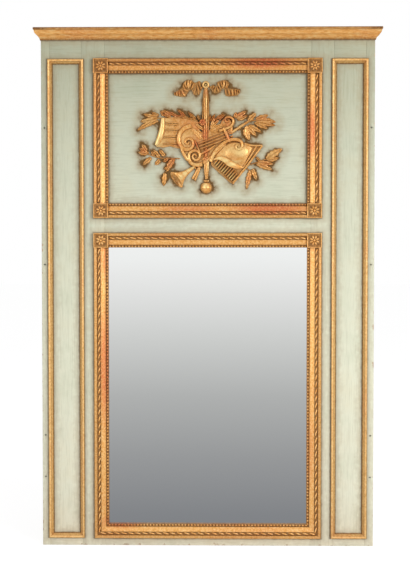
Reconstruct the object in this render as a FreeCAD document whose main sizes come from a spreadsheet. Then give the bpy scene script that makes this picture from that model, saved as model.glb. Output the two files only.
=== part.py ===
"""Trumeau mirror: painted overmantel panel with gilt mouldings, a carved trophy and a mirror glass.

Frame of the model: +Z up, the front faces -Y, the wall plane is Y = 0, the middle X = 0 and the foot Z = 0.
A moulding is drawn by its section: "across" runs from its outer edge inwards, "rise" is out of the stiles.
"""
import FreeCAD, Part

import math
import os
import re

import Sketcher

Vector = FreeCAD.Vector
Rotation = FreeCAD.Rotation
Placement = FreeCAD.Placement

doc = FreeCAD.newDocument("TrumeauMirror")

# ---------------------------------------------------------------- driving dimensions, millimetres
SIZES = {
    # case
    "body_width": 1030.0,
    "case_depth": 55.0,
    "stile_thickness": 22.0,
    "board_thickness": 18.0,
    "batten_thickness": 18.0,
    "batten_height": 70.0,
    "middle_batten_rise": 17.0,
    "hanging_batten_drop": 23.0,
    # layout of the front
    "foot_margin": 23.0,
    "side_margin": 19.5,
    "side_frame_width": 113.0,
    "frame_spacing": 30.0,
    "mirror_frame_height": 952.0,
    "frame_gap": 46.5,
    "trophy_frame_height": 490.5,
    "top_margin": 95.0,
    # joinery
    "tenon_length": 20.0,
    "short_tenon_length": 14.0,
    "tenon_thickness": 8.0,
    "tenon_setback": 7.0,
    "tenon_shoulder": 8.0,
    "glue_room": 1.0,
    # main moulding
    "moulding_width": 45.0,
    "moulding_lap": 33.5,
    "panel_recess": 8.0,
    "edge_height": 8.0,
    "edge_bead_width": 10.5,
    "edge_bead_radius": 5.6,
    "rope_seat_height": 6.0,
    "rope_width": 9.5,
    "rope_radius": 5.0,
    "slope_height": 9.5,
    "slope_hollow_radius": 30.0,
    "pearl_width": 6.6,
    "pearl_seat_height": 2.5,
    "pearl_radius": 3.5,
    "moulding_fillet": 0.8,
    # corner blocks
    "block_height": 15.0,
    "block_border": 3.8,
    "block_sinking": 4.0,
    "rosette_boss_radius": 4.2,
    "rosette_boss_height": 4.5,
    "rosette_petal_radius": 4.6,
    "rosette_petal_circle": 10.5,
    "rosette_petal_height": 2.5,
    # moulding of the side panels
    "side_moulding_width": 17.5,
    "side_moulding_lap": 7.5,
    "side_edge_height": 5.0,
    "side_bead_width": 8.5,
    "side_bead_radius": 4.5,
    "side_slope_radius": 16.0,
    "side_toe_width": 1.5,
    "side_toe_height": 2.5,
    # cornice
    "cornice_height": 43.0,
    "cornice_projection": 22.0,
    "cornice_fillet_height": 7.5,
    "cornice_fillet_step": 2.5,
    "cornice_round_foot": 20.0,
    "cornice_round_depth": 10.5,
    "cornice_round_radius": 15.0,
    "cornice_hollow_radius": 22.0,
    "cornice_toe_height": 5.0,
    "cornice_toe_depth": 3.5,
    # panels, glass and back
    "panel_clearance": 1.0,
    "glass_thickness": 4.0,
    "backboard_thickness": 6.0,
    "backboard_overlap": 19.0,
    "glass_block_width": 12.0,
    "glass_block_length": 60.0,
    # fasteners
    "nail_radius": 1.2,
    "nail_head_radius": 2.6,
    "nail_head_height": 1.2,
    "stile_nail_length": 44.0,
    "backboard_nail_length": 22.0,
    "nail_edge_distance": 10.0,
    "screw_radius": 1.9,
    "screw_length": 30.0,
    "screw_head_radius": 3.8,
    "screw_head_height": 1.6,
    "pilot_clearance": 0.05,
    # hangers
    "hanger_drop": 7.0,
    "strap_width": 20.0,
    "strap_length": 62.0,
    "strap_thickness": 2.0,
    "barrel_radius": 4.6,
    "barrel_length": 16.0,
    "ring_wire_radius": 2.0,
    "ring_half_width": 15.0,
    "ring_corner_radius": 6.0,
    "ring_side_length": 4.0,
    "ring_running_clearance": 0.06,
    "upper_screw_drop": 34.0,
    "lower_screw_drop": 53.0,
    # trophy, standing out of its panel
    "leaf_relief": 7.0,
    "stem_width": 5.0,
    "sheet_relief": 12.0,
    "horn_relief": 15.0,
    "ribbon_relief": 12.0,
    "strap_relief": 10.0,
    "pan_pipe_relief": 17.0,
    "lyre_relief": 22.0,
    "trophy_ring_radius": 11.0,
    "trophy_ring_hole": 5.5,
    "trophy_ball_radius": 19.0,
}

# Places that follow from the driving dimensions.
LEVELS = {
    "half_width": "body_width / 2",
    "stile_back": "case_depth - stile_thickness",
    "panel_face": "case_depth - panel_recess",
    "batten_back": "case_depth - stile_thickness - batten_thickness",
    "glass_back": "panel_face - glass_thickness",
    "moulding_overhang": "moulding_width - moulding_lap",
    "side_frame_outer": "half_width - side_margin",
    "side_frame_inner": "side_frame_outer - side_frame_width",
    "centre_half": "side_frame_inner - frame_spacing",
    "opening_half": "centre_half - moulding_lap",
    "inner_stile_outer": "side_frame_inner + side_moulding_lap",
    "outer_stile_inner": "side_frame_outer - side_moulding_lap",
    "mirror_frame_top": "foot_margin + mirror_frame_height",
    "trophy_frame_foot": "mirror_frame_top + frame_gap",
    "trophy_frame_top": "trophy_frame_foot + trophy_frame_height",
    "body_height": "trophy_frame_top + top_margin",
    "mirror_opening_foot": "foot_margin + moulding_lap",
    "mirror_opening_top": "mirror_frame_top - moulding_lap",
    "trophy_opening_foot": "trophy_frame_foot + moulding_lap",
    "trophy_opening_top": "trophy_frame_top - moulding_lap",
    "trophy_centre": "trophy_frame_foot + trophy_frame_height / 2",
    "side_opening_foot": "foot_margin + side_moulding_lap",
    "side_opening_top": "trophy_frame_top - side_moulding_lap",
    "board_inner": "half_width - board_thickness",
    "middle_batten_foot": "mirror_opening_top + backboard_overlap + middle_batten_rise",
    "hanging_batten_foot": "trophy_opening_top - hanging_batten_drop - batten_height",
    "tenon_face": "case_depth - tenon_setback",
    "tenon_rear": "case_depth - tenon_setback - tenon_thickness",
    "stile_middle": "(opening_half + inner_stile_outer) / 2",
    "hanger_height": "hanging_batten_foot + batten_height - hanger_drop",
    "ring_axis": "batten_back - barrel_radius",
}

CUT_MARGIN = 5.0  # how far a cutter runs past what it cuts
SIDES = {"left": -1, "right": 1}

sheet = doc.addObject("Spreadsheet::Sheet", "Sizes")
for row, (alias, size) in enumerate(SIZES.items(), start=1):
    sheet.set(f"A{row}", alias)
    sheet.set(f"B{row}", str(size))
    sheet.setAlias(f"B{row}", alias)
doc.recompute()

owner = {alias: "Sizes." for alias in SIZES}
owner.update({name: "Levels." for name in LEVELS})


def bound(text):
    """An expression with each size's name led by the object that holds it."""
    return re.sub(r"[a-z_]+", lambda word: owner.get(word.group(), "") + word.group(), str(text))


levels = doc.addObject("App::VarSet", "Levels")
for name, rule in LEVELS.items():
    levels.addProperty("App::PropertyFloat", name, "Levels")
for name, rule in LEVELS.items():
    levels.setExpression(name, bound(rule))
doc.recompute()

nodes = {}


def value(text):
    """The number that an expression gives."""
    return float(levels.evalExpression(bound(text)))


def node(label, piece):
    """Name a finished sub-part."""
    piece.Label = label
    nodes[label] = piece
    return piece


# ---------------------------------------------------------------- square-edged pieces, cutters and holes
def block(name, x, y, z):
    """A box from its low to its high face along X, Y and Z."""
    piece = doc.addObject("Part::Box", name)
    for side, axis, (low, high) in zip(("Length", "Width", "Height"), "xyz", (x, y, z)):
        piece.setExpression(side, bound(f"({high}) - ({low})"))
        piece.setExpression(f"Placement.Base.{axis}", bound(low))
    return piece


def on_side(side, inner, outer):
    """The span along X from the inner to the outer face, on the left or the right."""
    if SIDES[side] > 0:
        return (inner, outer)
    return (f"-({outer})", f"-({inner})")


def mirrored(side, place):
    """A place along X on the left or the right."""
    return f"{SIDES[side]} * ({place})"


def pin(name, x, z, start, length, radius):
    """A cylinder along +Y from its start."""
    piece = doc.addObject("Part::Cylinder", name)
    piece.Placement = Placement(Vector(0, 0, 0), Rotation(Vector(1, 0, 0), -90))
    piece.setExpression("Radius", bound(radius))
    piece.setExpression("Height", bound(length))
    for axis, place in zip("xyz", (x, start, z)):
        piece.setExpression(f"Placement.Base.{axis}", bound(place))
    return piece


def joined(name, pieces):
    """One object from several, or the one piece itself."""
    if len(pieces) == 1:
        return pieces[0]
    whole = doc.addObject("Part::MultiFuse", name)
    whole.Shapes = pieces
    whole.Refine = True
    return whole


def cut(name, base, cutters):
    """The base with the cutters taken away."""
    piece = doc.addObject("Part::Cut", name)
    piece.Base = base
    piece.Tool = joined(name + "_cutters", cutters)
    return piece


# ---------------------------------------------------------------- sketches
def origin_plane(body, role):
    """One of a body's own origin planes."""
    return next(plane for plane in body.Origin.OriginFeatures if plane.Role == role)


def outline(body, name, role, corners, offset="0"):
    """A closed outline bound to the sheet.

    Each corner is (x, y) or (x, y, radius). A radius rounds the stretch from that corner to the next one:
    positive with its centre to the left of the way there, negative to the right.
    """
    sketch = body.newObject("Sketcher::SketchObject", name)
    sketch.AttachmentSupport = [(origin_plane(body, role), "")]
    sketch.MapMode = "FlatFace"
    if offset != "0":
        sketch.setExpression("AttachmentOffset.Base.z", bound(offset))
    places = [Vector(value(corner[0]), value(corner[1]), 0) for corner in corners]
    ends = []
    for index, (corner, start) in enumerate(zip(corners, places)):
        finish = places[(index + 1) % len(places)]
        if len(corner) < 3:
            sketch.addGeometry(Part.LineSegment(start, finish), False)
            ends.append((1, 2))
            continue
        radius = value(corner[2])
        chord = finish - start
        reach = math.sqrt(max(radius ** 2 - chord.Length ** 2 / 4, 0.0))
        normal = Vector(-chord.y, chord.x, 0).normalize()
        centre = (start + finish) / 2 + normal * math.copysign(reach, radius)
        circle = Part.Circle(centre, Vector(0, 0, 1), abs(radius))
        first, last = (start, finish) if radius > 0 else (finish, start)
        first_angle = math.atan2(first.y - centre.y, first.x - centre.x)
        last_angle = math.atan2(last.y - centre.y, last.x - centre.x)
        sketch.addGeometry(Part.ArcOfCircle(circle, first_angle, last_angle), False)
        ends.append((1, 2) if radius > 0 else (2, 1))
    for index in range(len(corners)):
        following = (index + 1) % len(corners)
        sketch.addConstraint(
            Sketcher.Constraint("Coincident", index, ends[index][1], following, ends[following][0]))
    for index, corner in enumerate(corners):
        for kind, place in (("DistanceX", corner[0]), ("DistanceY", corner[1])):
            number = sketch.addConstraint(
                Sketcher.Constraint(kind, -1, 1, index, ends[index][0], value(place)))
            if re.search("[a-z]", str(place)):
                sketch.setExpression(f"Constraints[{number}]", bound(place))
        if len(corner) > 2:
            number = sketch.addConstraint(Sketcher.Constraint("Radius", index, abs(value(corner[2]))))
            size = corner[2].lstrip("-")
            sketch.setExpression(f"Constraints[{number}]", bound(size))
    return sketch


def circle_sketch(body, name, x, y, radius, offset):
    """A circle in the front plane of a body, bound to the sheet."""
    sketch = body.newObject("Sketcher::SketchObject", name)
    sketch.AttachmentSupport = [(origin_plane(body, "XZ_Plane"), "")]
    sketch.MapMode = "FlatFace"
    sketch.setExpression("AttachmentOffset.Base.z", bound(offset))
    middle = Vector(value(x), value(y), 0)
    sketch.addGeometry(Part.Circle(middle, Vector(0, 0, 1), value(radius)), False)
    for kind, place in (("DistanceX", x), ("DistanceY", y)):
        number = sketch.addConstraint(Sketcher.Constraint(kind, -1, 1, 0, 3, value(place)))
        if re.search("[a-z]", place):
            sketch.setExpression(f"Constraints[{number}]", bound(place))
    number = sketch.addConstraint(Sketcher.Constraint("Radius", 0, value(radius)))
    sketch.setExpression(f"Constraints[{number}]", bound(radius))
    return sketch


def pad(body, sketch, length, both_ways=False):
    """Material as thick as the length, out of the sketch or on both sides of it."""
    feature = body.newObject("PartDesign::Pad", sketch.Name + "_pad")
    feature.Profile = sketch
    feature.setExpression("Length", bound(length))
    feature.Midplane = both_ways
    return feature


def pocket_through(body, sketch):
    """Cut the sketch right through the body, both ways."""
    feature = body.newObject("PartDesign::Pocket", sketch.Name + "_pocket")
    feature.Profile = sketch
    feature.Type = "ThroughAll"
    feature.Midplane = True
    return feature


def placed(body, x, y, z, turn=0):
    """Put a body at its bound place, turned about the Y axis by degrees."""
    body.Placement = Placement(Vector(0, 0, 0), Rotation(Vector(0, 1, 0), turn))
    for axis, place in zip("xyz", (x, y, z)):
        body.setExpression(f"Placement.Base.{axis}", bound(place))
    return body


# ---------------------------------------------------------------- case and front frame
def side_boards():
    """The two boards that carry the front frame and close the sides."""
    for side in SIDES:
        board = block(f"{side}_board", on_side(side, "board_inner", "half_width"),
                      ("-stile_back", "0"), ("0", "body_height"))
        node(f"side_board_{side}", cut(f"{side}_board_cut", board, nail_holes(side)))


def top_board():
    """The board between the side boards, under the cornice."""
    node("top_board", block("top_closing", ("-board_inner", "board_inner"), ("-stile_back", "0"),
                            ("body_height - board_thickness", "body_height")))


STILE_NAIL_SHARES = (0.134, 0.215, 0.546, 0.809)  # of the body's height


def nail_places(side):
    """Where the nails through an outer stile stand."""
    return [(mirrored(side, "half_width - nail_edge_distance"), f"{share} * body_height")
            for share in STILE_NAIL_SHARES]


def nail_holes(side):
    """The holes of the nails through an outer stile, a hair wider than the nails."""
    holes = []
    for number, (x, z) in enumerate(nail_places(side)):
        holes.append(pin(f"{side}_nail_hole_{number}", x, z, "-case_depth", "stile_nail_length",
                         "nail_radius + pilot_clearance"))
        holes.append(pin(f"{side}_head_hole_{number}", x, z, "-case_depth", "nail_head_height",
                         "nail_head_radius + pilot_clearance"))
    return holes


CENTRE_RAILS = {
    "top_rail": ("trophy_opening_top", "body_height"),
    "middle_rail": ("mirror_opening_top", "trophy_opening_foot"),
    "bottom_rail": ("0", "mirror_opening_foot"),
}
SHORT_RAILS = {
    "top": ("side_opening_top", "body_height"),
    "bottom": ("0", "side_opening_foot"),
}


def tenon(name, x, z):
    """A tenon, or its mortise, along the given span and within the rail's shoulders."""
    return block(name, x, ("-tenon_face", "-tenon_rear"),
                 (f"{z[0]} + tenon_shoulder", f"{z[1]} - tenon_shoulder"))


def rail(label, x, z, reach):
    """A rail with a tenon of the given reach at each end."""
    pieces = [
        block(f"{label}_board", x, ("-case_depth", "-stile_back"), z),
        tenon(f"{label}_tenon_low", (f"{x[0]} - {reach}", x[0]), z),
        tenon(f"{label}_tenon_high", (x[1], f"{x[1]} + {reach}"), z),
    ]
    node(label, joined(f"{label}_joined", pieces))


def mortise(name, side, edge, way, z, reach):
    """The room in a stile for a tenon, from the edge outwards (+) or inwards (-)."""
    far = f"{edge} {way} ({reach} + glue_room)"
    span = (edge, far) if way == "+" else (far, edge)
    return tenon(name, on_side(side, *span), z)


# How far across the inner stile each batten's screws stand: clear of the tenons below, of the strap above.
BATTEN_SCREWS = {"middle_batten_foot": (0.45, 0.8), "hanging_batten_foot": (0.2, 0.8)}


def screw_places(side):
    """Where screws enter a side's inner stile: (x, z, how far the head's seat is from the wall)."""
    places = []
    for batten, shares in BATTEN_SCREWS.items():
        for share in shares:
            across = f"opening_half + {share} * (inner_stile_outer - opening_half)"
            places.append((mirrored(side, across), f"{batten} + batten_height / 4", "batten_back"))
    for drop in ("upper_screw_drop", "lower_screw_drop"):
        places.append((mirrored(side, "stile_middle"), f"hanger_height - {drop}",
                       "batten_back - strap_thickness"))
    return places


def screw_holes(name, side):
    """The holes of the screws through the battens into the inner stile."""
    holes = []
    for number, (x, z, seat) in enumerate(screw_places(side)):
        holes.append(pin(f"{name}_{side}_screw_hole_{number}", x, z, f"-({seat}) - screw_length",
                         "screw_length", "screw_radius + pilot_clearance"))
    return holes


BACKBOARD_NAIL_SHARES = (0.12, 0.5, 0.88)  # of the mirror opening's height
GLASS_BLOCK_SHARES = (0.2, 0.5, 0.8)


def share_of_opening(share):
    """A height at a share of the mirror opening."""
    return f"(mirror_opening_foot + {share} * (mirror_opening_top - mirror_opening_foot))"


def backboard_nail_places():
    """Where the nails stand that hold the backboard to the stiles and rails."""
    places = []
    for side in SIDES:
        edge = mirrored(side, "opening_half + backboard_overlap / 2")
        places += [(edge, share_of_opening(share)) for share in BACKBOARD_NAIL_SHARES]
        middle = mirrored(side, "opening_half / 2")
        places.append((middle, "mirror_opening_foot - backboard_overlap / 2"))
        places.append((middle, "mirror_opening_top + backboard_overlap / 2"))
    return places


def backboard_nail_holes(name):
    """The holes of the backboard's nails."""
    return [
        pin(f"{name}_back_nail_hole_{number}", x, z,
            "-stile_back + backboard_thickness - backboard_nail_length", "backboard_nail_length",
            "nail_radius + pilot_clearance")
        for number, (x, z) in enumerate(backboard_nail_places())
    ]


def stiles_and_rails():
    """The front frame: upright stiles, mortised for the rails between them."""
    for label, z in CENTRE_RAILS.items():
        rail(label, ("-opening_half", "opening_half"), z, "tenon_length")
    for side in SIDES:
        for level, z in SHORT_RAILS.items():
            rail(f"short_rail_{level}_{side}", on_side(side, "inner_stile_outer", "outer_stile_inner"), z,
                 "short_tenon_length")
        outer = block(f"{side}_outer_blank", on_side(side, "outer_stile_inner", "half_width"),
                      ("-case_depth", "-stile_back"), ("0", "body_height"))
        cutters = [mortise(f"{side}_outer_mortise_{level}", side, "outer_stile_inner", "+", z,
                           "short_tenon_length") for level, z in SHORT_RAILS.items()]
        node(f"outer_stile_{side}", cut(f"{side}_outer_cut", outer, cutters + nail_holes(side)))
        inner = block(f"{side}_inner_blank", on_side(side, "opening_half", "inner_stile_outer"),
                      ("-case_depth", "-stile_back"), ("0", "body_height"))
        cutters = [mortise(f"{side}_inner_mortise_{level}", side, "inner_stile_outer", "-", z,
                           "short_tenon_length") for level, z in SHORT_RAILS.items()]
        cutters += [mortise(f"{side}_{label}_mortise", side, "opening_half", "+", z, "tenon_length")
                    for label, z in CENTRE_RAILS.items()]
        cutters += screw_holes("stile", side)
        cutters += backboard_nail_holes(f"{side}_stile")
        node(f"inner_stile_{side}", cut(f"{side}_inner_cut", inner, cutters))
    for label in ("middle_rail", "bottom_rail"):
        whole = nodes[label]
        node(label, cut(f"{label}_drilled", whole, backboard_nail_holes(label)))


def battens():
    """The two cross battens that tie the frame and carry the hangers."""
    for label, foot in (("middle_batten", "middle_batten_foot"), ("hanging_batten", "hanging_batten_foot")):
        board = block(f"{label}_board", ("-board_inner", "board_inner"), ("-stile_back", "-batten_back"),
                      (foot, f"{foot} + batten_height"))
        holes = screw_holes(label, "left") + screw_holes(label, "right")
        node(label, cut(f"{label}_drilled", board, holes))


def panels():
    """The painted panels, loose in their openings behind the mouldings."""
    inside = ("-panel_face", "-stile_back")
    for side in SIDES:
        width = on_side(side, "inner_stile_outer + panel_clearance", "outer_stile_inner - panel_clearance")
        node(f"side_panel_{side}", block(f"{side}_panel_board", width, inside,
                                         ("side_opening_foot + panel_clearance",
                                          "side_opening_top - panel_clearance")))
    node("trophy_panel", block("trophy_board",
                               ("panel_clearance - opening_half", "opening_half - panel_clearance"), inside,
                               ("trophy_opening_foot + panel_clearance",
                                "trophy_opening_top - panel_clearance")))


# ---------------------------------------------------------------- mirror
def mirror():
    """The glass behind the moulding's lip, its blocks, and the backboard nailed over them."""
    node("mirror_glass", block("glass_plate",
                               ("panel_clearance - opening_half", "opening_half - panel_clearance"),
                               ("-panel_face", "-glass_back"),
                               ("mirror_opening_foot + panel_clearance",
                                "mirror_opening_top - panel_clearance")))
    blocks = []
    depth = ("-glass_back", "-stile_back")
    for side in SIDES:
        for number, share in enumerate(GLASS_BLOCK_SHARES):
            middle = share_of_opening(share)
            span = (f"{middle} - glass_block_length / 2", f"{middle} + glass_block_length / 2")
            blocks.append(block(f"{side}_glass_block_{number}",
                                on_side(side, "opening_half - glass_block_width", "opening_half"),
                                depth, span))
        middle = mirrored(side, "opening_half / 2")
        span = (f"{middle} - glass_block_length / 2", f"{middle} + glass_block_length / 2")
        blocks.append(block(f"{side}_foot_block", span, depth,
                            ("mirror_opening_foot", "mirror_opening_foot + glass_block_width")))
        blocks.append(block(f"{side}_head_block", span, depth,
                            ("mirror_opening_top - glass_block_width", "mirror_opening_top")))
    node("glass_blocks", joined("glass_blocks_group", blocks))
    board = block("backboard_blank",
                  ("-opening_half - backboard_overlap", "opening_half + backboard_overlap"),
                  ("-stile_back", "-stile_back + backboard_thickness"),
                  ("mirror_opening_foot - backboard_overlap", "mirror_opening_top + backboard_overlap"))
    node("mirror_backboard", cut("backboard_drilled", board, backboard_nail_holes("backboard")))


# ---------------------------------------------------------------- mouldings
MAIN_SECTION = (
    # across, rise, radius of the stretch that follows
    ("0", "0"),
    ("0", "edge_height", "edge_bead_radius"),
    ("edge_bead_width", "edge_height"),
    ("edge_bead_width + moulding_fillet", "rope_seat_height", "rope_radius"),
    ("edge_bead_width + moulding_fillet + rope_width", "rope_seat_height"),
    ("edge_bead_width + 2 * moulding_fillet + rope_width", "slope_height", "-slope_hollow_radius"),
    ("moulding_width - pearl_width - 2 * moulding_fillet", "pearl_seat_height + moulding_fillet"),
    ("moulding_width - pearl_width - moulding_fillet", "pearl_seat_height", "pearl_radius"),
    ("moulding_width - moulding_fillet", "pearl_seat_height"),
    ("moulding_width", "pearl_seat_height"),
    ("moulding_width", "-panel_recess"),
    ("moulding_lap", "-panel_recess"),
    ("moulding_lap", "0"),
)
SIDE_SECTION = (
    ("0", "0"),
    ("0", "side_edge_height", "side_bead_radius"),
    ("side_bead_width", "side_edge_height", "-side_slope_radius"),
    ("side_moulding_width - side_toe_width", "side_toe_height - panel_recess"),
    ("side_moulding_width", "side_toe_height - panel_recess"),
    ("side_moulding_width", "-panel_recess"),
    ("side_moulding_lap", "-panel_recess"),
    ("side_moulding_lap", "0"),
)
TURNS = {"top": 0, "right": 90, "bottom": 180, "left": -90}


def strip(label, section, width, length, turn, place, mitres):
    """A moulding strip along its own X, with its outer edge up, then turned about Y and placed.

    mitres holds -1 for a mitre at its low end and 1 for one at its high end.
    """
    body = doc.addObject("PartDesign::Body", label + "_body")
    corners = [(f"-({corner[1]})", f"-({corner[0]})") + tuple(corner[2:]) for corner in section]
    pad(body, outline(body, label + "_section", "YZ_Plane", corners), length, both_ways=True)
    for way in mitres:
        corners = [
            (f"{way} * ({length} / 2 + {CUT_MARGIN})", f"{CUT_MARGIN}"),
            (f"{way} * ({length} / 2 - {width} - {CUT_MARGIN})", f"-{width} - {CUT_MARGIN}"),
            (f"{way} * ({length} / 2 + {CUT_MARGIN})", f"-{width} - {CUT_MARGIN}"),
        ]
        end = "low" if way < 0 else "high"
        pocket_through(body, outline(body, f"{label}_{end}_mitre", "XZ_Plane", corners))
    node(label, placed(body, *place, turn))


def side_mouldings():
    """Four mitred strips round each side panel."""
    height = "(trophy_frame_top - foot_margin)"
    middle = "(trophy_frame_top + foot_margin) / 2"
    for side in SIDES:
        centre = mirrored(side, "(side_frame_outer + side_frame_inner) / 2")
        low_x, high_x = on_side(side, "side_frame_inner", "side_frame_outer")
        runs = {
            "top": ("side_frame_width", (centre, "-case_depth", "trophy_frame_top")),
            "right": (height, (high_x, "-case_depth", middle)),
            "bottom": ("side_frame_width", (centre, "-case_depth", "foot_margin")),
            "left": (height, (low_x, "-case_depth", middle)),
        }
        for edge, (length, place) in runs.items():
            strip(f"{side}_panel_moulding_{edge}", SIDE_SECTION, "side_moulding_width", length,
                  TURNS[edge], place, (-1, 1))


def trophy_mouldings():
    """Four strips with square ends that butt the corner blocks."""
    across = "(2 * centre_half - 2 * moulding_width)"
    upright = "(trophy_frame_height - 2 * moulding_width)"
    runs = {
        "top": (across, ("0", "-case_depth", "trophy_frame_top")),
        "right": (upright, ("centre_half", "-case_depth", "trophy_centre")),
        "bottom": (across, ("0", "-case_depth", "trophy_frame_foot")),
        "left": (upright, ("-centre_half", "-case_depth", "trophy_centre")),
    }
    for edge, (length, place) in runs.items():
        strip(f"trophy_moulding_{edge}", MAIN_SECTION, "moulding_width", length, TURNS[edge], place, ())


def mirror_mouldings():
    """Strips that butt the upper corner blocks and are mitred below."""
    upright = "(mirror_frame_height - moulding_width)"
    middle = "foot_margin + (mirror_frame_height - moulding_width) / 2"
    runs = {
        "top": ("(2 * centre_half - 2 * moulding_width)", ("0", "-case_depth", "mirror_frame_top"), ()),
        "right": (upright, ("centre_half", "-case_depth", middle), (1,)),
        "bottom": ("(2 * centre_half)", ("0", "-case_depth", "foot_margin"), (-1, 1)),
        "left": (upright, ("-centre_half", "-case_depth", middle), (-1,)),
    }
    for edge, (length, place, mitres) in runs.items():
        strip(f"mirror_moulding_{edge}", MAIN_SECTION, "moulding_width", length, TURNS[edge], place, mitres)


PETAL_COUNT = 8


def square(half):
    """The corners of a square about the middle."""
    return [(f"-({half})", f"-({half})"), (half, f"-({half})"), (half, half), (f"-({half})", half)]


def corner_block(label, x, z, turn):
    """A square block with a raised border, a sunk field and a rosette, and the lip over the opening."""
    body = doc.addObject("PartDesign::Body", label + "_body")
    pad(body, outline(body, label + "_square", "XZ_Plane", square("moulding_width / 2")), "block_height")
    field = outline(body, label + "_field", "XZ_Plane", square("moulding_width / 2 - block_border"),
                    "block_height")
    sinking = body.newObject("PartDesign::Pocket", label + "_sinking")
    sinking.Profile = field
    sinking.setExpression("Length", bound("block_sinking"))
    inner = ("moulding_width / 2 - moulding_overhang", "moulding_width / 2")
    lip = outline(body, label + "_lip", "XZ_Plane",
                  [(inner[0], f"-({inner[1]})"), (inner[1], f"-({inner[1]})"),
                   (inner[1], f"-({inner[0]})"), (inner[0], f"-({inner[0]})")])
    lip_pad = pad(body, lip, "panel_recess")
    lip_pad.Reversed = True
    floor = "block_height - block_sinking"
    pad(body, circle_sketch(body, label + "_boss", "0", "0", "rosette_boss_radius", floor),
        "rosette_boss_height")
    petal_sketch = circle_sketch(body, label + "_petal", "rosette_petal_circle", "0",
                                 "rosette_petal_radius", floor)
    petal = pad(body, petal_sketch, "rosette_petal_height")
    petals = body.newObject("PartDesign::PolarPattern", label + "_petals")
    petals.Originals = [petal]
    petals.Axis = (petal_sketch, ["N_Axis"])
    petals.Angle = 360
    petals.Occurrences = PETAL_COUNT
    body.Tip = petals
    node(label, placed(body, x, "-case_depth", z, turn))


def corner_blocks():
    """Four blocks round the trophy panel and two over the mirror."""
    heights = {
        "trophy_corner_top": ("trophy_frame_top - moulding_width / 2", {"left": 0, "right": 90}),
        "trophy_corner_bottom": ("trophy_frame_foot + moulding_width / 2", {"left": -90, "right": 180}),
        "mirror_corner": ("mirror_frame_top - moulding_width / 2", {"left": 0, "right": 90}),
    }
    for name, (z, turns) in heights.items():
        for side in SIDES:
            x = mirrored(side, "centre_half - moulding_width / 2")
            corner_block(f"{name}_{side}", x, z, turns[side])


# ---------------------------------------------------------------- cornice
CORNICE_SECTION = (
    # projection, height, radius of the stretch that follows, seen with the projection to the right
    ("0", "0"),
    ("cornice_toe_depth", "0"),
    ("cornice_toe_depth", "cornice_toe_height", "-cornice_hollow_radius"),
    ("cornice_round_depth", "cornice_round_foot", "cornice_round_radius"),
    ("cornice_projection - cornice_fillet_step", "cornice_height - cornice_fillet_height"),
    ("cornice_projection", "cornice_height - cornice_fillet_height"),
    ("cornice_projection", "cornice_height"),
    ("0", "cornice_height"),
)


def cornice_corners(way):
    """The cornice's section with its projection along +X (1) or -X (-1) of the sketch."""
    corners = []
    for corner in CORNICE_SECTION:
        turned = [f"{way} * ({corner[0]})", corner[1]]
        if len(corner) > 2:
            concave = corner[2].startswith("-")
            radius = corner[2].lstrip("-")
            turned.append(f"-{radius}" if concave == (way > 0) else radius)
        corners.append(tuple(turned))
    return corners


def cornice():
    """A front run and two returns, mitred at the front corners."""
    foot = "body_height - cornice_height"
    margin = CUT_MARGIN
    body = doc.addObject("PartDesign::Body", "cornice_front_body")
    pad(body, outline(body, "cornice_front_section", "YZ_Plane", cornice_corners(-1)),
        "(body_width + 2 * cornice_projection)", both_ways=True)
    for side, way in SIDES.items():
        corners = [
            (f"{way} * (half_width - {margin})", f"{margin}"),
            (f"{way} * (half_width + cornice_projection + {margin})", f"-cornice_projection - {margin}"),
            (f"{way} * (half_width + cornice_projection + {margin})", f"{margin}"),
        ]
        pocket_through(body, outline(body, f"cornice_{side}_mitre", "XY_Plane", corners))
    node("cornice_front", placed(body, "0", "-case_depth", foot))
    for side, way in SIDES.items():
        body = doc.addObject("PartDesign::Body", f"cornice_{side}_body")
        section = outline(body, f"cornice_return_section_{side}", "XZ_Plane", cornice_corners(way))
        pad(body, section, "case_depth + cornice_projection")
        corners = [
            (f"{-way} * {margin}", f"-case_depth + {margin}"),
            (f"{way} * (cornice_projection + {margin})", f"-case_depth - cornice_projection - {margin}"),
            (f"{-way} * {margin}", f"-case_depth - cornice_projection - {margin}"),
        ]
        pocket_through(body, outline(body, f"cornice_return_mitre_{side}", "XY_Plane", corners))
        node(f"cornice_return_{side}", placed(body, mirrored(side, "half_width"), "0", foot))


# ---------------------------------------------------------------- fasteners and hangers
def nails():
    """Cut nails: through the outer stiles into the side boards, and through the backboard."""
    group = []
    for side in SIDES:
        for number, (x, z) in enumerate(nail_places(side)):
            shank = pin(f"{side}_nail_{number}", x, z, "-case_depth", "stile_nail_length", "nail_radius")
            head = pin(f"{side}_nail_head_{number}", x, z, "-case_depth", "nail_head_height",
                       "nail_head_radius")
            group += [shank, head]
    for number, (x, z) in enumerate(backboard_nail_places()):
        face = "-stile_back + backboard_thickness"
        shank = pin(f"back_nail_{number}", x, z, f"{face} - backboard_nail_length",
                    "backboard_nail_length", "nail_radius")
        head = pin(f"back_nail_head_{number}", x, z, face, "nail_head_height", "nail_head_radius")
        group += [shank, head]
    node("nails", joined("nail_group", group))


def screws():
    """Round-headed screws that hold the battens and the hangers."""
    group = []
    for side in SIDES:
        for number, (x, z, seat) in enumerate(screw_places(side)):
            shank = pin(f"{side}_screw_{number}", x, z, f"-({seat}) - screw_length", "screw_length",
                        "screw_radius")
            head = pin(f"{side}_screw_head_{number}", x, z, f"-({seat})", "screw_head_height",
                       "screw_head_radius")
            group += [shank, head]
    node("screws", joined("screw_group", group))


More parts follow.
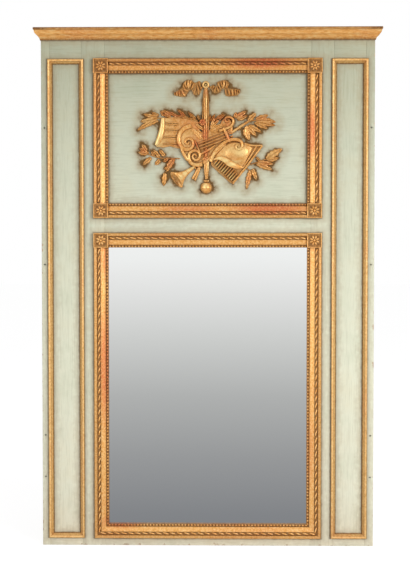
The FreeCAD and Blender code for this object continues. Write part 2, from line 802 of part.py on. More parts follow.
def lying(name, x, y, z, length, radius):
    """A cylinder along X with its middle at x."""
    piece = doc.addObject("Part::Cylinder", name)
    piece.Placement = Placement(Vector(0, 0, 0), Rotation(Vector(0, 1, 0), 90))
    piece.setExpression("Radius", bound(radius))
    piece.setExpression("Height", bound(length))
    for axis, place in zip("xyz", (f"{x} - ({length}) / 2", y, z)):
        piece.setExpression(f"Placement.Base.{axis}", bound(place))
    return piece


def hanger(side):
    """A strap with a rolled barrel at its top, screwed to the batten."""
    x = mirrored(side, "stile_middle")
    plate = block(f"{side}_strap_plate", (f"{x} - strap_width / 2", f"{x} + strap_width / 2"),
                  ("-batten_back", "-batten_back + strap_thickness"),
                  ("hanger_height - strap_length", "hanger_height"))
    barrel = lying(f"{side}_barrel", x, "-ring_axis", "hanger_height", "barrel_length", "barrel_radius")
    bore = lying(f"{side}_barrel_bore", x, "-ring_axis", "hanger_height",
                 f"(strap_width + {CUT_MARGIN})", "ring_wire_radius + ring_running_clearance")
    holes = [
        pin(f"{side}_strap_hole_{drop}", x, f"hanger_height - {drop}", f"-batten_back - {CUT_MARGIN}",
            f"strap_thickness + 2 * {CUT_MARGIN}", "screw_radius + pilot_clearance")
        for drop in ("upper_screw_drop", "lower_screw_drop")
    ]
    whole = joined(f"{side}_strap_joined", [plate, barrel])
    node(f"hanger_strap_{side}", cut(f"{side}_strap_cut", whole, [bore] + holes))


def bend(name, x, z, radius, turn, sweep):
    """A round bend of the ring's wire in the X-Z plane, from a start angle through a sweep."""
    piece = doc.addObject("Part::Torus", name)
    piece.setExpression("Radius1", bound(radius))
    piece.setExpression("Radius2", bound("ring_wire_radius"))
    piece.Angle3 = sweep
    upright = Rotation(Vector(1, 0, 0), 90)
    piece.Placement = Placement(Vector(0, 0, 0), upright * Rotation(Vector(0, 0, 1), turn))
    for axis, place in zip("xyz", (x, "-ring_axis", z)):
        piece.setExpression(f"Placement.Base.{axis}", bound(place))
    return piece


def upright_wire(name, x, z):
    """A short straight side of the ring, hanging from z."""
    piece = doc.addObject("Part::Cylinder", name)
    piece.setExpression("Radius", bound("ring_wire_radius"))
    piece.setExpression("Height", bound("ring_side_length"))
    for axis, place in zip("xyz", (x, "-ring_axis", f"{z} - ring_side_length")):
        piece.setExpression(f"Placement.Base.{axis}", bound(place))
    return piece


def ring(side):
    """A D-ring that hangs from the strap's barrel."""
    x = mirrored(side, "stile_middle")
    corner_z = "hanger_height - ring_corner_radius"
    foot_z = "hanger_height - ring_corner_radius - ring_side_length"
    inset = "ring_half_width - ring_corner_radius"
    pieces = [
        lying(f"{side}_ring_bar", x, "-ring_axis", "hanger_height", f"2 * ({inset})", "ring_wire_radius"),
        bend(f"{side}_ring_corner_a", f"{x} + {inset}", corner_z, "ring_corner_radius", 0, 90),
        upright_wire(f"{side}_ring_side_a", f"{x} + ring_half_width", corner_z),
        bend(f"{side}_ring_bow", x, foot_z, "ring_half_width", 180, 180),
        upright_wire(f"{side}_ring_side_b", f"{x} - ring_half_width", corner_z),
        bend(f"{side}_ring_corner_b", f"{x} - ({inset})", corner_z, "ring_corner_radius", 90, 90),
    ]
    node(f"d_ring_{side}", joined(f"{side}_ring_joined", pieces))


# ---------------------------------------------------------------- carved trophy
# Places are millimetres from the middle of the trophy panel: across, up.
MUSIC_SHEET = ((-139, 62), (-146, 30), (-151, 3), (-166, -21), (-157, -29), (-135, -31), (-114, -26),
               (-91, -33), (-52, -37), (-21, -6), (-21, 49), (-68, 62), (-104, 66))
LYRE = ((-49, 38), (-74, 28), (-88, 8), (-89, -14), (-80, -34), (-69, -50), (-60, -73), (-34, -89),
        (-8, -83), (13, -65), (44, -38), (68, -27), (84, -35), (104, -35), (113, -20), (104, -6),
        (78, -5), (85, 14), (72, 32), (80, 48), (73, 64), (58, 67), (46, 56), (40, 40), (3, 24),
        (-28, 22))
PAN_PIPE = ((12, -76), (24, -51), (49, -23), (71, -7), (106, -7), (128, -20), (162, -23), (178, -20),
            (118, -95), (81, -146), (68, -141), (12, -86))
HORN = ((-119, -110), (-104, -108), (-83, -99), (-58, -83), (-40, -76), (-21, -70), (-14, -84),
        (-44, -100), (-68, -120), (-77, -146), (-81, -160), (-96, -156), (-110, -143), (-119, -126))
RIBBON_LEFT = ((-12, 170), (-29, 173), (-45, 178), (-62, 177), (-75, 166), (-80, 154), (-95, 149),
               (-105, 139), (-98, 129), (-69, 127), (-52, 138), (-40, 129), (-26, 131), (-13, 156))
RIBBON_RIGHT = ((5, 159), (16, 138), (33, 135), (45, 147), (57, 130), (77, 128), (98, 133), (102, 144),
                (92, 152), (74, 154), (68, 169), (54, 178), (36, 176), (22, 169), (5, 170))
STRAP = ((-9, 158), (3, 158), (8, 61), (6, 24), (-11, 24), (-18, 61))
DROP = ((-16, -64), (11, -64), (6, -99), (4, -140), (-8, -140), (-11, -99))
FLUTE = ((-37, -132), (-44, -129), (-36, -102), (-31, -80), (-18, -83), (-27, -108))
BEADED_PIPE = ((68, 20), (119, 58), (124, 52), (74, 12))
TROPHY_RING_CENTRE = (-4, 164)
TROPHY_BALL_CENTRE = (-2, -154)
# Each leaf: base, tip, width.
LEAVES = (
    # upper left
    ((-149, 61), (-202, 49), 19), ((-166, 54), (-217, 22), 17), ((-149, 53), (-183, 36), 14),
    ((-139, 68), (-199, 71), 13), ((-111, 70), (-143, 88), 11), ((-108, 66), (-140, 74), 11),
    ((-67, 64), (-93, 89), 11), ((-48, 56), (-89, 70), 11), ((-26, 53), (-54, 79), 11),
    # upper middle and right
    ((7, 50), (24, 77), 9), ((14, 45), (42, 72), 11), ((34, 52), (60, 73), 11),
    ((88, 60), (70, 79), 16), ((90, 61), (122, 81), 19), ((126, 53), (152, 77), 17),
    ((148, 57), (201, 65), 22), ((155, 52), (215, 39), 17), ((145, 51), (190, 25), 16),
    ((124, 40), (131, -9), 27), ((127, 44), (169, 8), 24),
    # lower left
    ((-177, -52), (-205, -19), 20), ((-175, -54), (-215, -46), 16), ((-146, -63), (-199, -84), 17),
    ((-132, -64), (-161, -83), 16), ((-139, -61), (-166, -34), 14), ((-101, -62), (-125, -106), 20),
    ((-129, -104), (-134, -149), 16),
    # lower right
    ((166, -74), (150, -58), 9), ((180, -68), (234, -32), 25), ((150, -80), (207, -77), 19),
    ((158, -79), (204, -102), 19), ((133, -97), (121, -160), 18), ((134, -98), (152, -133), 16),
)
STEMS = (
    ((-48, 58), (-149, 61), (-170, 52)),
    ((96, 22), (124, 50), (158, 55)),
    ((-84, -64), (-149, -62), (-184, -49)),
    ((-101, -62), (-123, -105), (-130, -108)),
    ((112, -86), (146, -80), (184, -66)),
    ((118, -90), (137, -106)),
)


def spline_face(points):
    """A closed outline through the points, in the front plane, rounded at each of them."""
    curve = Part.BSplineCurve()
    curve.interpolate(Points=[Vector(x, 0, z) for x, z in points], PeriodicFlag=True)
    return Part.Face(Part.Wire(curve.toShape()))


def polygon_face(points):
    """A closed outline with straight sides, in the front plane."""
    ring_points = [Vector(x, 0, z) for x, z in points]
    return Part.Face(Part.makePolygon(ring_points + ring_points[:1]))


def leaf_face(base, tip, width):
    """A pointed leaf from two arcs."""
    start, end = Vector(base[0], 0, base[1]), Vector(tip[0], 0, tip[1])
    along = (end - start).normalize()
    across = Vector(-along.z, 0, along.x) * (width / 2)
    middle = (start + end) / 2
    edges = [Part.Arc(start, middle + across, end).toShape(), Part.Arc(end, middle - across, start).toShape()]
    return Part.Face(Part.Wire(edges))


def stem_face(start, end, width):
    """A straight stretch of stem."""
    low, high = Vector(start[0], 0, start[1]), Vector(end[0], 0, end[1])
    along = (high - low).normalize()
    across = Vector(-along.z, 0, along.x) * (width / 2)
    return polygon_face([(point.x, point.z) for point in
                         (low + across, high + across, high - across, low - across)])


def relief(faces, height):
    """Faces raised out of the panel by a height, joined, and put on the panel's middle."""
    solids = [face.extrude(Vector(0, -height, 0)) for face in faces]
    whole = solids[0] if len(solids) == 1 else solids[0].multiFuse(solids[1:])
    return whole.removeSplitter()


def carved(label, shape):
    """A carved piece glued to the trophy panel."""
    piece = doc.addObject("Part::Feature", label)
    piece.Shape = shape
    piece.Placement = Placement(Vector(0, -value("panel_face"), value("trophy_centre")), Rotation())
    return node(label, piece)


def trophy():
    """The trophy's pieces, the front ones whole and the ones behind cut to fit round them."""
    lyre = relief([spline_face(LYRE)], value("lyre_relief"))
    pan_pipe = relief([polygon_face(PAN_PIPE)], value("pan_pipe_relief")).cut(lyre)
    horn = relief([spline_face(HORN)], value("horn_relief")).cut(lyre)
    sheet_shape = relief([polygon_face(MUSIC_SHEET)], value("sheet_relief")).cut(lyre)
    ring_middle = Vector(TROPHY_RING_CENTRE[0], 0, TROPHY_RING_CENTRE[1])
    out = Vector(0, -1, 0)
    ring_disc = Part.makeCylinder(value("trophy_ring_radius"), value("ribbon_relief"), ring_middle, out)
    ring_hole = Part.makeCylinder(value("trophy_ring_hole"), value("ribbon_relief"), ring_middle, out)
    ball_middle = Vector(TROPHY_BALL_CENTRE[0], 0, TROPHY_BALL_CENTRE[1])
    ball = Part.makeSphere(value("trophy_ball_radius"), ball_middle, out, 0, 90, 360)
    strap_parts = relief([polygon_face(STRAP), polygon_face(DROP), spline_face(FLUTE)],
                         value("strap_relief"))
    strap_shape = strap_parts.multiFuse([ring_disc, ball]).cut(ring_hole)
    strap_shape = strap_shape.cut(lyre.multiFuse([sheet_shape, horn, pan_pipe]))
    ribbon = relief([spline_face(RIBBON_LEFT), spline_face(RIBBON_RIGHT)], value("ribbon_relief"))
    ribbon = ribbon.cut(strap_shape.multiFuse([ring_disc]))
    leaf_faces = [leaf_face(*leaf) for leaf in LEAVES]
    width = value("stem_width")
    for stem in STEMS:
        leaf_faces += [stem_face(start, end, width) for start, end in zip(stem, stem[1:])]
    leaf_faces.append(polygon_face(BEADED_PIPE))
    front = lyre.multiFuse([pan_pipe, horn, sheet_shape, strap_shape])
    leaves = relief(leaf_faces, value("leaf_relief")).cut(front)
    carved("trophy_lyre", lyre)
    carved("trophy_pan_pipe", pan_pipe)
    carved("trophy_horn", horn)
    carved("trophy_music_sheet", sheet_shape)
    carved("trophy_strap", strap_shape)
    carved("trophy_ribbon", ribbon)
    carved("trophy_leaves", leaves)


# ---------------------------------------------------------------- build, check and write
def build():
    """Make every sub-part."""
    side_boards()
    top_board()
    stiles_and_rails()
    battens()
    panels()
    mirror()
    side_mouldings()
    trophy_mouldings()
    mirror_mouldings()
    corner_blocks()
    cornice()
    nails()
    screws()
    for side in SIDES:
        hanger(side)
        ring(side)
    trophy()
    doc.recompute()


def check():
    """Stop if any object failed to build."""
    for piece in doc.Objects:
        faults = [state for state in piece.State if state in ("Invalid", "Error")]
        if faults:
            raise RuntimeError(f"{piece.Name} ({piece.Label}): {faults}")
    for label, piece in nodes.items():
        if piece.Shape.isNull() or not piece.Shape.isValid() or not piece.Shape.Solids:
            raise RuntimeError(f"{label} has no valid solid")


def write():
    """Write each sub-part to its own file."""
    os.makedirs("parts", exist_ok=True)
    for label, piece in nodes.items():
        piece.Shape.exportStep(f"parts/{label}.step")
        print(f"{label}: {len(piece.Shape.Solids)} solid(s), {piece.Shape.Volume / 1000:.1f} cm3")
    print(len(nodes), "nodes")


build()
check()
write()
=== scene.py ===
"""Looks of a trumeau mirror: grey-green distemper, gilt mouldings, a carved and gilt trophy, a mirror glass.

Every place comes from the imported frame: +Z up, the front faces -Y, the wall plane is Y = 0. Metres.
"""

import logging
import math
from dataclasses import astuple, dataclass, field
from enum import Enum
from functools import partial
from typing import Callable, Iterable, Mapping, Sequence

import bmesh
import bpy
from mathutils import Matrix, Vector, kdtree, noise


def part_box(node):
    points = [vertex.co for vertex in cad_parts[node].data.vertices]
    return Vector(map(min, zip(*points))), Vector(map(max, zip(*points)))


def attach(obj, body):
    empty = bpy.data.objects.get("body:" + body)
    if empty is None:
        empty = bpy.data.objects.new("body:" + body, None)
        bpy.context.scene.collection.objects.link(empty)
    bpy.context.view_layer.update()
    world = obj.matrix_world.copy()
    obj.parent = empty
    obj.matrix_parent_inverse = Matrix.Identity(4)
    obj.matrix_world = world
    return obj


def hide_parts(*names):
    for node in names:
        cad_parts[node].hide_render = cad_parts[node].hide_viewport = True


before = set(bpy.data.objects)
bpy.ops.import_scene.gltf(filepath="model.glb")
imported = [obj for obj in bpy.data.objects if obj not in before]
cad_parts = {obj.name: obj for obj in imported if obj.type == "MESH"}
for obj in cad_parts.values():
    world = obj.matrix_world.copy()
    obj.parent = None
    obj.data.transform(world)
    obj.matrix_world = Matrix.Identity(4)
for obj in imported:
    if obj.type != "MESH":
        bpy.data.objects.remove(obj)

LOG = logging.getLogger("trumeau")
MM = 0.001
OUTWARD = Vector((0.0, -1.0, 0.0))
IMAGE_HEIGHT = 571
WAVER_SEED = 7
UMBER, RUBBED, PAINTED_HIGHLIGHT_LAYER, CARVING_DIRT_AND_SHADE = "umber", "rubbed", "polished", "grime"

# Widths of the mouldings, and how much narrower and further left the dirt and painted shade beside the side
# frames lies; further left puts more painted shade on the left of each strip, the side away from the light.
MAIN_WIDTH, SIDE_WIDTH = 45 * MM, 17.5 * MM
SIDE_SEEN, SIDE_TUCK, SIDE_SHADE_ASIDE = 16.2 * MM, 2.6 * MM, -1.4 * MM
CORNICE_FOOT = 5.2 * MM

# Settings of a Mix node that lays one colour over another, and of one that stains it.
LAY = {"data_type": "RGBA"}
STAIN = {"data_type": "RGBA", "blend_type": "MULTIPLY"}

Adder = Callable[..., bpy.types.NodeSocket]
Outputs = Mapping[str, bpy.types.NodeSocket]
Row = Sequence[float]


class Slot(Enum):
    """Names of the record's material slots."""

    PAINT = "painted_wood"
    GILT = "gilt_wood"
    PINE = "raw_pine"


class Grain(Enum):
    """Which way a board's grain and brush strokes run, as the stretch of a pattern along X and Z."""

    UPRIGHT = (1.0, 1.0, 0.05)
    LEVEL = (0.05, 1.0, 1.0)


class Edge(Enum):
    """The side of a frame that a moulding strip lies on, as its turn about Y in degrees."""

    TOP = 0
    RIGHT = 90
    BOTTOM = 180
    LEFT = -90


# ---------------------------------------------------------------- materials
def linear(colour: str) -> tuple[float, float, float, float]:
    """Turn an sRGB hex colour to linear RGBA.

    Args:
        colour: "#rrggbb".

    Returns:
        Red, green, blue and alpha.
    """
    channels = [int(colour[start:start + 2], 16) / 255 for start in (1, 3, 5)]
    red, green, blue = (c / 12.92 if c <= 0.04045 else ((c + 0.055) / 1.055) ** 2.4 for c in channels)
    return (red, green, blue, 1.0)


def feed(socket: bpy.types.NodeSocket, source: object) -> None:
    """Link an input to another node's output, or set it.

    Args:
        socket: the input.
        source: an output, an sRGB hex colour or a plain value.
    """
    if isinstance(source, bpy.types.NodeSocket):
        socket.id_data.links.new(source, socket)
    else:
        socket.default_value = linear(source) if isinstance(source, str) else source


def add_node(tree: bpy.types.NodeTree, kind: str, *sources: object,
             stops: Sequence[tuple[float, str]] = (), out: str = "", **named: object) -> bpy.types.NodeSocket:
    """Add a node with its settings and links.

    Args:
        tree: the node tree.
        kind: the node's type, without "ShaderNode".
        sources: what feeds its active inputs, in their order.
        stops: a colour ramp's stops, (place, sRGB hex) from low to high.
        out: the output to return; the first active one if it isn't named.
        named: inputs by their names, which start with a capital, and the node's own settings.

    Returns:
        The output.
    """
    node = tree.nodes.new(f"ShaderNode{kind}")
    inputs = {name: source for name, source in named.items() if name[0].isupper()}
    for name in named.keys() - inputs.keys():
        setattr(node, name, named[name])
    for socket, source in zip([socket for socket in node.inputs if socket.enabled], sources):
        feed(socket, source)
    for name, source in inputs.items():
        feed(node.inputs[name], source)
    if stops:
        elements = node.color_ramp.elements
        while len(elements) < len(stops):
            elements.new(0.5)
        for element, (place, colour) in zip(elements, stops):
            element.position, element.color = place, linear(colour)
    return node.outputs[out] if out else next(socket for socket in node.outputs if socket.enabled)


def new_material(name: str) -> tuple[bpy.types.Material, Adder]:
    """Start a material.

    Args:
        name: the material's name.

    Returns:
        The material, and what adds a node to its tree.
    """
    material = bpy.data.materials.new(name)
    material.use_nodes = True
    return material, partial(add_node, material.node_tree)


def coat(material: bpy.types.Material, inputs: Mapping[str, object]) -> bpy.types.Material:
    """Feed a material's Principled shader and return the material."""
    for name, source in inputs.items():
        feed(material.node_tree.nodes["Principled BSDF"].inputs[name], source)
    return material


@dataclass(frozen=True)
class Band:
    """The flat band that a frame of moulding covers: its middle, and half its size outside and inside."""

    middle: tuple[float, float]
    outer: tuple[float, float]
    inner: tuple[float, float]


@dataclass(frozen=True)
class Distemper:
    """Glue-bound grey-green paint brushed on boards.

    It is quite matt and shows brush streaks along the grain and cloudy tints. It is painted darker towards
    the top as painted shade, where less light falls, and brown beside the mouldings and round the carving,
    with a darker line close to the mouldings: dirt and painted shade together.
    """

    name: str
    grain: Grain
    bands: tuple[Band, ...]
    height: float
    half_width: float
    streak: float = 3.5 * MM
    cloud: float = 90 * MM
    ragged: float = 14 * MM
    dirt_and_shade_line: float = 6.5 * MM
    dirt_and_shade_halo: float = 30 * MM
    flake: float = 22 * MM
    chip_reach: float = 11 * MM
    foot_wear: float = 0.45

    def nearness(self, add: Adder, place: Outputs) -> bpy.types.NodeSocket:
        """Work out how far a point is from the nearest moulding.

        Args:
            add: what adds a node.
            place: the object coordinates.

        Returns:
            The distance in metres.
        """
        nearest = None
        for band in self.bands:
            sides = []
            for axis, middle, outer, inner in zip(("X", "Z"), band.middle, band.outer, band.inner):
                offset = add("Math", place[axis], middle, operation="SUBTRACT")
                away = add("Math", offset, operation="ABSOLUTE")
                sides.append([add("Math", away, half, operation="SUBTRACT") for half in (outer, inner)])
            outside, inside = [add("Math", *pair, operation="MAXIMUM") for pair in zip(*sides)]
            turned = add("Math", inside, -1.0, operation="MULTIPLY")
            gap = add("Math", outside, turned, operation="MAXIMUM")
            nearest = gap if nearest is None else add("Math", nearest, gap, operation="MINIMUM")
        return nearest

    def chips(self, add: Adder, where: bpy.types.NodeSocket, place: Outputs) -> bpy.types.NodeSocket:
        """Chip the paint along the outer edges, most at the foot.

        Args:
            add: what adds a node.
            where: the object coordinates.
            place: the same, separated.

        Returns:
            What is 1 where the wood shows.
        """
        away = add("Math", place["X"], operation="ABSOLUTE")
        side_gap = add("Math", self.half_width, away, operation="SUBTRACT")
        foot_gap = add("Math", place["Z"], self.foot_wear, operation="MULTIPLY")
        gap = add("Math", side_gap, foot_gap, operation="MINIMUM")
        flakes = add("TexNoise", where, Scale=1 / self.flake, Detail=6.0, Roughness=0.7)
        reach = add("MapRange", flakes, 0.57, 0.8, 0.0, self.chip_reach)
        return add("Math", reach, gap, operation="GREATER_THAN")

    def material(self) -> bpy.types.Material:
        """Build the material."""
        material, add = new_material(self.name)
        where = add("TexCoord", out="Object")
        place = add("SeparateXYZ", where).node.outputs
        height = add("Math", place["Z"], self.height, operation="DIVIDE", use_clamp=True)
        # Painted shade: the paint darkens towards the top, where less light falls.
        height_shade = add("ValToRGB", height, stops=(
            (0.0, "#DFD8C2"), (0.1, "#E0DFCB"), (0.35, "#DBDCC8"), (0.6, "#CED0BC"), (0.78, "#C0C3AF"),
            (0.92, "#AEB09B"), (1.0, "#A6A791")))
        clouds = add("TexNoise", where, Scale=1 / self.cloud, Detail=4.0, Roughness=0.6)
        tint = add("ValToRGB", clouds, stops=((0.3, "#DDE3D8"), (0.5, "#F8F8F4"), (0.7, "#F8F0E0")))
        tinted = add("Mix", 0.35, height_shade, tint, **STAIN)
        along = add("Mapping", where, Scale=self.grain.value)
        strokes = add("TexNoise", along, Scale=1 / self.streak, Detail=3.0, Roughness=0.65)
        tones = add("ValToRGB", strokes, stops=((0.3, "#DCDAD2"), (0.55, "#FFFFFF"), (0.75, "#F0EEE6")))
        stroked = add("Mix", 0.45, tinted, tones, **STAIN)
        # Brown beside the mouldings and round the carving, with a darker line close to the mouldings: dirt
        # and painted shade together.
        nearness = self.nearness(add, place)
        ragged = add("TexNoise", where, Scale=1 / self.ragged, Detail=3.0)
        wander = add("MapRange", ragged, 0.25, 0.75, 0.5, 1.4)
        spread = add("Math", nearness, wander, operation="DIVIDE")
        halo = add("MapRange", spread, 0.0, self.dirt_and_shade_halo, 0.34, 0.0, interpolation_type="SMOOTHSTEP")
        grime = add("Attribute", out="Fac", attribute_name=CARVING_DIRT_AND_SHADE)
        caught = add("Math", grime, wander, operation="MULTIPLY")
        dirt_and_shade_share = add("Math", halo, caught, operation="MAXIMUM", use_clamp=True)
        dirt_and_shade_tone = add("ValToRGB", dirt_and_shade_share, stops=((0.45, "#9A8462"), (1.0, "#6A4F2C")))
        dusty = add("Mix", dirt_and_shade_share, stroked, dirt_and_shade_tone, **LAY)
        line = add("MapRange", spread, 0.0, self.dirt_and_shade_line, 0.62, 0.0, interpolation_type="SMOOTHSTEP")
        lined = add("Mix", line, dusty, "#5C4526", **LAY)
        chipped = add("Mix", self.chips(add, where, place), lined, "#B7A388", **LAY)
        bump = add("Bump", Height=strokes, Strength=0.35, Distance=0.4 * MM)
        return coat(material, {"Base Color": chipped, "Roughness": 0.82, "Specular IOR Level": 0.25,
                               "Normal": bump})


@dataclass(frozen=True)
class WaterGilding:
    """Gold leaf on red bole over gesso.

    The leaf gives a warm, soft metal sheen, lightened to pale gold at stored spots as a painted highlight;
    rubbed places show the red bole. The hollows are darkened with umber, toning and painted shade at once,
    and the leaf is darkened towards the top as painted shade.
    """

    name: str = "water_gilding"
    leaf: str = "#F0B368"
    pale_leaf: str = "#FDD494"
    deep_leaf: str = "#D2923F"
    bole: str = "#D46C45"
    umber: str = "#5E3510"
    polished: str = "#FFE4A0"
    height_shade: str = "#E6DCD2"
    height_shade_from: tuple[float, float] = (0.9, 1.65)
    hollow: float = 7.0 * MM
    mottle: float = 6 * MM
    stretch: tuple[float, float, float] = (1.0, 1.0, 1.0)
    bole_patch: float = 130 * MM
    bole_share: float = 0.35
    most_umber: float = 0.88
    grain: float = 5 * MM
    grit: float = 0.3
    metal: float = 0.62
    roughness: float = 0.4

    def material(self) -> bpy.types.Material:
        """Build the material."""
        material, add = new_material(self.name)
        where = add("TexCoord", out="Object")
        drawn = add("Mapping", where, Scale=self.stretch)
        mottle = add("TexNoise", drawn, Scale=1 / self.mottle, Detail=5.0, Roughness=0.65)
        leaf = add("ValToRGB", mottle,
                   stops=((0.28, self.deep_leaf), (0.48, self.leaf), (0.7, self.pale_leaf)))
        patches = add("TexNoise", where, Scale=1 / self.bole_patch, Detail=2.0)
        rubs = add("TexNoise", where, Scale=1 / self.grain, Detail=4.0, Roughness=0.7)
        patch = add("MapRange", patches, 0.5, 0.68, 0.0, 1.0)
        thin = add("MapRange", rubs, 0.4, 0.65, 0.15, 1.0)
        rubbed = add("Math", patch, thin, operation="MULTIPLY")
        spots = add("Attribute", out="Fac", attribute_name=RUBBED)
        worn = add("MapRange", rubs, 0.35, 0.6, 0.35, 1.0)
        patchy = add("Math", spots, worn, operation="MULTIPLY")
        faint = add("Math", rubbed, self.bole_share, operation="MULTIPLY")
        share = add("Math", faint, patchy, operation="MAXIMUM", use_clamp=True)
        red = add("Mix", share, leaf, self.bole, **LAY)
        # Painted highlight: at the stored spots the leaf is lightened to pale gold.
        painted_highlight_share = add("Attribute", out="Fac", attribute_name=PAINTED_HIGHLIGHT_LAYER)
        highlighted_leaf = add("Mix", painted_highlight_share, red, self.polished, **LAY)
        # Umber in the hollows, from ambient occlusion and from the stored share: toning and painted shade at
        # once.
        depth = add("AmbientOcclusion", out="AO", Distance=self.hollow, samples=6)
        hollow_toning_and_shade = add("MapRange", depth, 0.3, 0.9, 0.9, 0.0)
        wiped = add("Attribute", out="Fac", attribute_name=UMBER)
        smear = add("MapRange", rubs, 0.3, 0.7, 0.55, 1.0)
        laid = add("Math", wiped, smear, operation="MULTIPLY")
        most = add("Math", hollow_toning_and_shade, laid, operation="MAXIMUM")
        shade = add("Math", most, self.most_umber, operation="MINIMUM")
        toned = add("Mix", shade, highlighted_leaf, self.umber, **LAY)
        # Painted shade: the leaf is darkened towards the top, between the two heights, where less light
        # falls.
        place = add("SeparateXYZ", where).node.outputs
        film = add("MapRange", place["Z"], *self.height_shade_from, 0.0, 1.0)
        height_shaded = add("Mix", film, toned, self.height_shade, **STAIN)
        gloss = add("MapRange", rubs, 0.3, 0.7, self.roughness - 0.08, self.roughness + 0.12)
        bump = add("Bump", Height=rubs, Strength=self.grit, Distance=0.5 * MM)
        return coat(material, {"Base Color": height_shaded, "Metallic": self.metal, "Roughness": gloss,
                               "Normal": bump})


@dataclass(frozen=True)
class AgedPine:
    """Bare pine boards, sawn and gone brown: long grain lines, darker rings and a film of dust."""

    name: str
    grain: Grain
    ring_width: float = 7 * MM
    ring_bend: float = 60 * MM
    dust: float = 120 * MM

    def material(self) -> bpy.types.Material:
        """Build the material."""
        material, add = new_material(self.name)
        where = add("TexCoord", out="Object")
        along = add("Mapping", where, Scale=self.grain.value)
        warp = add("TexNoise", along, Scale=1 / self.ring_bend, Detail=2.0, out="Color")
        bent = add("VectorMath", warp, (0.05, 0.05, 0.05), operation="MULTIPLY")
        path = add("VectorMath", along, bent, operation="ADD")
        rings = add("TexNoise", path, Scale=1 / self.ring_width, Detail=4.0, Roughness=0.7)
        tone = add("ValToRGB", rings, stops=((0.3, "#76593B"), (0.48, "#A5845A"), (0.62, "#C2A174"),
                                             (0.8, "#D0B388")))
        dust = add("TexNoise", where, Scale=1 / self.dust, Detail=5.0)
        film = add("MapRange", dust, 0.35, 0.7, 0.1, 0.5)
        dusty = add("Mix", film, tone, "#8C7B64", **LAY)
        bump = add("Bump", Height=rings, Strength=0.5, Distance=0.5 * MM)
        return coat(material, {"Base Color": dusty, "Roughness": 0.85, "Specular IOR Level": 0.2,
                               "Normal": bump})


@dataclass(frozen=True)
class SilveredGlass:
    """Plate glass silvered behind: a clear, very smooth mirror with a trace of green."""

    name: str = "silvered_glass"
    tint: str = "#FAFBFA"
    haze: float = 400 * MM

    def material(self) -> bpy.types.Material:
        """Build the material."""
        material, add = new_material(self.name)
        haze = add("TexNoise", add("TexCoord", out="Object"), Scale=1 / self.haze, Detail=3.0)
        film = add("MapRange", haze, 0.3, 0.7, 0.015, 0.035)
        return coat(material, {"Roughness": film, "Base Color": self.tint, "Metallic": 1.0})


@dataclass(frozen=True)
class ForgedIron:
    """Hand-forged iron with a thin brown rust: dark, half matt and slightly pitted."""

    name: str = "forged_iron"
    dark: str = "#3C3530"
    rust: str = "#6B4630"
    pit: float = 4 * MM

    def material(self) -> bpy.types.Material:
        """Build the material."""
        material, add = new_material(self.name)
        spots = add("TexNoise", add("TexCoord", out="Object"), Scale=1 / self.pit, Detail=5.0, Roughness=0.7)
        tone = add("ValToRGB", spots, stops=((0.4, self.dark), (0.62, self.rust)))
        bump = add("Bump", Height=spots, Strength=0.4, Distance=0.3 * MM)
        return coat(material, {"Base Color": tone, "Metallic": 0.85, "Roughness": 0.55, "Normal": bump})


@dataclass(frozen=True)
class Finishes:
    """The materials, made once."""

    paint: Mapping[Grain, bpy.types.Material]
    pine: Mapping[Grain, bpy.types.Material]
    gilding: bpy.types.Material
    dusty_gilding: bpy.types.Material
    streaked_gilding: bpy.types.Material
    burnished_gilding: bpy.types.Material
    glass: bpy.types.Material
    iron: bpy.types.Material


# ---------------------------------------------------------------- mesh helpers
def corners_of(*nodes: str) -> tuple[Vector, Vector]:
    """Find the box round one or more nodes of the frame.

    Args:
        nodes: the nodes' names.

    Returns:
        Its lowest and highest corner.
    """
    boxes = [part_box(node) for node in nodes]
    low = Vector([min(box[0][axis] for box in boxes) for axis in range(3)])
    high = Vector([max(box[1][axis] for box in boxes) for axis in range(3)])
    return low, high


def place_object(name: str, data: bpy.types.ID) -> bpy.types.Object:
    """Put an object with some data in the scene."""
    piece = bpy.data.objects.new(name, data)
    bpy.context.scene.collection.objects.link(piece)
    return piece


def finish_piece(mesh: bmesh.types.BMesh, name: str, materials: Sequence[bpy.types.Material],
                 stands_for: str) -> bpy.types.Object:
    """Turn a finished mesh into a piece that rides on the frame.

    Args:
        mesh: the mesh, which is freed.
        name: the piece's name.
        materials: its materials, by the index that its faces hold.
        stands_for: the CAD node that it replaces.

    Returns:
        The piece.
    """
    bmesh.ops.recalc_face_normals(mesh, faces=mesh.faces)
    for face in mesh.faces:
        face.smooth = True
    data = bpy.data.meshes.new(name)
    mesh.to_mesh(data)
    mesh.free()
    piece = place_object(name, data)
    for material in materials:
        data.materials.append(material)
    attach(piece, "panel")
    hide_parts(stands_for)
    LOG.info("%s: %d faces", name, len(data.polygons))
    return piece


def sharpen(mesh: bmesh.types.BMesh, degrees: float) -> None:
    """Mark edges that turn by more than an angle as sharp, for shading."""
    for edge in mesh.edges:
        if len(edge.link_faces) == 2 and edge.calc_face_angle(0.0) > math.radians(degrees):
            edge.smooth = False


def umber_layer(mesh: bmesh.types.BMesh) -> bmesh.types.BMLayerItem:
    """Find or make a mesh's share of umber at each corner, which the gilding reads; it darkens hollows and
    low parts as toning and painted shade at once.
    """
    layers = mesh.verts.layers.float
    return layers.get(UMBER) or layers.new(UMBER)


